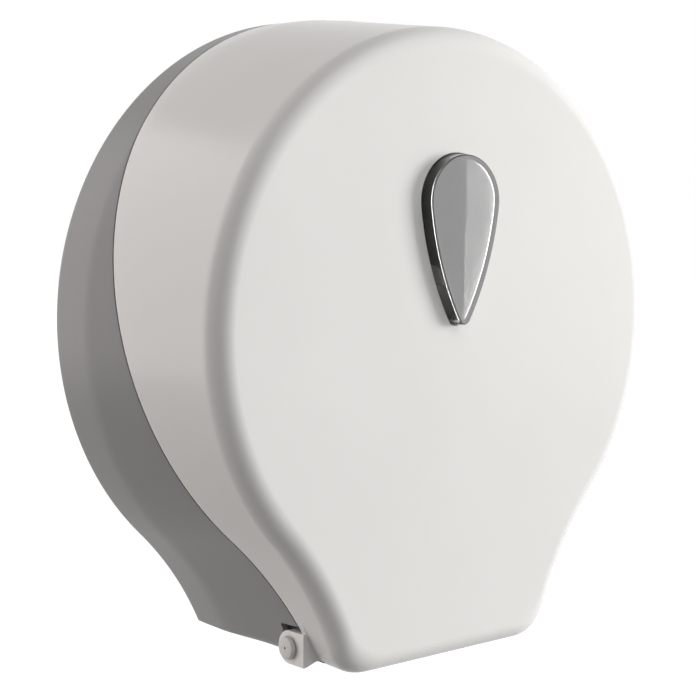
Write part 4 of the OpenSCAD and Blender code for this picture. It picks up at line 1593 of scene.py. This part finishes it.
@dataclass
class CamLock:
    """Lock in the cover's top, and the keeper on the base that its cam turns in behind."""

    lock: LockSizes
    screws: ScrewTree
    barrel_r: float = 8.0
    head_r: float = 11.0
    plug_r: float = 5.5
    nut_r: float = 12.5
    nut_h: float = 3.0
    cam_len: float = 16.0
    cam_w: float = 8.0
    square: float = 5.0
    face_gap: float = 0.3
    keeper_t: float = 2.0
    keeper_h: float = 9.0

    def barrel(self, finishes: Finishes) -> None:
        """Barrel with its domed head, and the nut that holds it."""
        lock, r, bore, rim = self.lock, self.barrel_r, self.plug_r + 0.05, self.plug_r + 1.2
        head, low, seat, top = self.head_r, lock.barrel_bottom, lock.seat_z, lock.head_z
        profile = [(bore, low), (r - 0.4, low), (r, low + 0.4), (r, seat), (head, seat),
                   (head, seat + 0.7), (head - 0.2, top - 0.4), (head - 0.8, top), (rim, top),
                   (rim - 0.2, top - 0.2), (bore, top - 0.2)]
        barrel = Solid.lathe(profile, Axis.UP, lock.centre, 96).to_object("lock_sleeve")
        hand_over(barrel, Body.COVER, finishes, Slot.CHROME, "lock_barrel")
        top = lock.boss_bottom
        outline = arc(lock.centre, self.nut_r, 0, 2 * math.pi, 6)[:-1]
        nut = Solid.prism(outline, Axis.UP, top - self.nut_h, top).to_object("sleeve_nut")
        combine(nut, [Solid.rod(r + FIT, top - 9, top + 2, Axis.UP, lock.centre, 64)], Cut.TAKE)
        soften(nut, 0.35)
        hand_over(nut, Body.COVER, finishes, Slot.ZINC_STEEL, "lock_nut")

    def rotor(self, finishes: Finishes) -> None:
        """Key plug, cam and cam screw."""
        lock, top, low = self.lock, self.lock.head_z - 0.2, self.lock.barrel_bottom - self.face_gap
        (x, y), under = lock.centre, low - lock.cam_t
        r, half, reach = self.plug_r, self.square / 2, self.plug_r * 0.65
        plug = Solid.lathe([(0, low), (r, low), (r, top - 0.5), (r - 0.5, top), (0, top)], Axis.UP,
                           lock.centre, 64).to_object("key_plug")
        combine(plug, [Solid.box((x - half, y - half, under),
                                 (x + half, y + half, low + 1))], Cut.ADD)
        slot = rounded_rectangle((x - 1, y - reach), (x + 1, y + reach), 0.6)
        ward = rounded_rectangle((x - 1.7, y - 0.9), (x + 1.7, y + 1.3), 0.4)
        combine(plug, [Solid.prism(slot, Axis.UP, top - 6, top + 3),
                       Solid.prism(ward, Axis.UP, top - 5, top + 3),
                       Solid.rod(1.52, low - 4, low + 5, Axis.UP, lock.centre, 32)], Cut.TAKE)
        hand_over(plug, Body.LOCK_ROTOR, finishes, Slot.PLUG_BRASS, "lock_plug")
        w, r, half = self.cam_w / 2, r + 1, half + 0.05
        start = math.pi / 2 + math.asin(w / r)
        outline = arc(lock.centre, r, start, 3 * math.pi - start, 48)
        outline += arc((x, y + self.cam_len - w), w, 0, math.pi, 24)
        cam = Solid.prism(outline, Axis.UP, under, low).to_object("cam_tongue")
        combine(cam, [Solid.box((x - half, y - half, low - 5), (x + half, y + half, low + 2))],
                Cut.TAKE)
        soften(cam, 0.3)
        hand_over(cam, Body.LOCK_ROTOR, finishes, Slot.ZINC_STEEL, "lock_cam")
        ScrewSet("cam_screw", [(x, y, under)], (0.0, 0.0, -1.0), 4.5, 2.0, 1.5,
                 6).build(self.screws, finishes, Body.LOCK_ROTOR, "lock_cam_screw")

    def keeper(self, finishes: Finishes) -> None:
        """Bent strip with a hooked end, and its screws."""
        lock, t, half = self.lock, self.keeper_t, self.keeper_h / 2
        x, back, front = self.cam_len + 2, lock.pad_face, lock.depth + self.cam_w / 2 + 1
        far, mid = x + lock.pad_len - 1, lock.keeper_z
        outline = [(far, back), (x + 1.5, back), (x + 0.4, back + 0.4), (x, back + 1.5),
                   (x, front), (x - 8, front), (x - 8, front + t), (x + 0.5, front + t),
                   (x + t - 0.4, front + t - 0.4), (x + t, front + t - 1.5),
                   (x + t, back + t), (far, back + t)]
        strip = Solid.prism([(u, -depth) for u, depth in outline], Axis.UP, mid - half,
                            mid + half).to_object("keeper_strip")
        places = [(x + 6.5, mid), (far - 3.5, mid)]
        combine(strip, [Solid.rod(1.95, 4, 10, Axis.FORWARD, at, 32) for at in places],
                Cut.TAKE)
        soften(strip, 0.25)
        hand_over(strip, Body.BASE, finishes, Slot.ZINC_STEEL, "lock_keeper")
        ScrewSet("keeper_pair", [(u, -back - t, v) for u, v in places], (0.0, -1.0, 0.0), 2.62,
                 1.8, 1.75, 5.6).build(self.screws, finishes, Body.BASE, "keeper_screws")

    def build(self, finishes: Finishes) -> None:
        """Builds the whole lock."""
        self.barrel(finishes)
        self.rotor(finishes)
        self.keeper(finishes)


@dataclass
class Lamp:
    """One soft square lamp aimed at the middle of the dispenser."""

    name: str
    azimuth: float
    elevation: float
    power: float
    size: float = 1.2
    distance: float = 2.2
    tint: tuple[float, float, float] = (1.0, 1.0, 1.0)
    mirrored: bool = True

    def build(self) -> None:
        """Hangs the lamp."""
        a, e = math.radians(self.azimuth), math.radians(self.elevation)
        back = Vector((math.sin(a) * math.cos(e), -math.cos(a) * math.cos(e), math.sin(e)))
        data = bpy.data.lights.new(self.name, "AREA")
        data.shape, data.size, data.energy, data.color = "SQUARE", self.size, self.power, self.tint
        lamp = bpy.data.objects.new(self.name, data)
        lamp.location = back * self.distance
        lamp.visible_glossy = self.mirrored
        lamp.rotation_mode = "QUATERNION"
        lamp.rotation_quaternion = (-back).to_track_quat("-Z", "Y")
        bpy.context.scene.collection.objects.link(lamp)


@dataclass
class Studio:
    """Camera, lamps, pale floor and white surroundings."""

    eye: Point = (-0.49734, -0.62245, 0.05546)
    right: Point = (0.74963, -0.66179, 0.00973)
    up: Point = (0.04673, 0.06758, 0.99662)
    focal_px: float = 1662.55
    centre_px: Flat = (386.6, 329.6)
    sensor: float = 36.0
    floor_z: float = -0.75
    floor_size: float = 24.0
    ambient: float = 0.05
    floor_colour: Colour = (0.3, 0.3, 0.3, 1)
    floor_glow: float = 0.85
    glow_run: Flat = (1.2, 2.5)

    def camera(self) -> None:
        """Places the camera that matches the photograph."""
        data = bpy.data.cameras.new("camera")
        data.sensor_width = self.sensor
        data.lens = self.focal_px * self.sensor / RENDER_PX
        data.shift_x = (RENDER_PX / 2 - self.centre_px[0]) / RENDER_PX
        data.shift_y = (self.centre_px[1] - RENDER_PX / 2) / RENDER_PX
        cam = bpy.data.objects.new("camera", data)
        x, y = Vector(self.right).normalized(), Vector(self.up).normalized()
        z = x.cross(y)
        turn = Matrix((x, y, z)).transposed().to_4x4()
        cam.matrix_world = Matrix.Translation(self.eye) @ turn
        bpy.context.scene.collection.objects.link(cam)
        bpy.context.scene.camera = cam

    @staticmethod
    def seen(sketch: Sketch) -> Socket:
        """Mask of the rays that show a surface: direct, mirrored or through glass."""
        path = sketch.add("ShaderNodeLightPath")
        mask = sketch.sum("MAXIMUM", path.outputs["Is Camera Ray"], path.outputs["Is Glossy Ray"])
        return sketch.sum("MAXIMUM", mask, path.outputs["Is Transmission Ray"])

    def surroundings(self) -> None:
        """White world to look at, and an even dim light from it."""
        world = bpy.data.worlds.new("studio")
        bpy.context.scene.world = world
        world.use_nodes = True
        s = Sketch(world.node_tree)
        back = world.node_tree.nodes["Background"]
        back.inputs["Color"].default_value = (1.0, 1.0, 1.0, 1.0)
        s.feed(back, Strength=s.sum("MULTIPLY_ADD", self.seen(s), 1 - self.ambient, self.ambient))

    def floor(self) -> None:
        """Pale floor below the dispenser."""
        half = self.floor_size / 2 / MM
        level = self.floor_z / MM
        corners = [(-half, -half, level), (half, -half, level), (half, half, level),
                   (-half, half, level)]
        ground = Solid(corners, [(0, 1, 2, 3)]).to_object("floor")
        material, s, shader = blank_material("floor_paper")
        where = s.add("ShaderNodeTexCoord").outputs["Object"]
        length = s.add("ShaderNodeVectorMath", where, operation="LENGTH").outputs["Value"]
        near, far = self.glow_run
        glow = s.feed(s.add("ShaderNodeMapRange"), Value=length, From_Min=near, From_Max=far,
                      To_Min=self.floor_glow)
        s.feed(shader, Base_Color=self.floor_colour, Roughness=0.9, Emission_Color=(1, 1, 1, 1),
               Emission_Strength=s.sum("MULTIPLY", self.seen(s), glow.outputs[0]))
        ground.data.materials.append(material)

    def build(self) -> None:
        """Sets up the whole studio."""
        bpy.context.scene.view_settings.view_transform = "Standard"
        self.camera()
        self.surroundings()
        self.floor()
        Lamp("side_lamp", -134, 14, 48.0, 2.6, tint=(1.0, 0.96, 0.935)).build()
        Lamp("right_lamp", 55, 5, 46.0, 0.98, tint=(0.99, 1.0, 0.985), mirrored=False).build()
        Lamp("front_lamp", 7, 36, 23.0, 2.24).build()


def main() -> None:
    """Builds the dispenser and the studio round it."""
    logging.basicConfig(level=logging.INFO, format="%(name)s %(message)s")
    shape, hinge, outlet, window = HousingShape(), HingeSizes(), Outlet(), TeardropShape()
    lock = LockSizes()
    screws, teeth, wheel = ScrewTree(), ToothTree(), WheelTree()
    finishes = Finishes()
    Studio().build()
    WallBase(shape, hinge, outlet, lock, wheel).build(finishes)
    FrontCover(shape, hinge, outlet, lock, window).build(finishes)
    WindowLens(window).build(finishes)
    HingePins(hinge).build(finishes)
    RollHub(screws, wheel).build(finishes)
    Cutters(hinge, outlet, teeth, screws).build(finishes)
    CamLock(lock, screws).build(finishes)


if __name__ == "__main__":
    main()
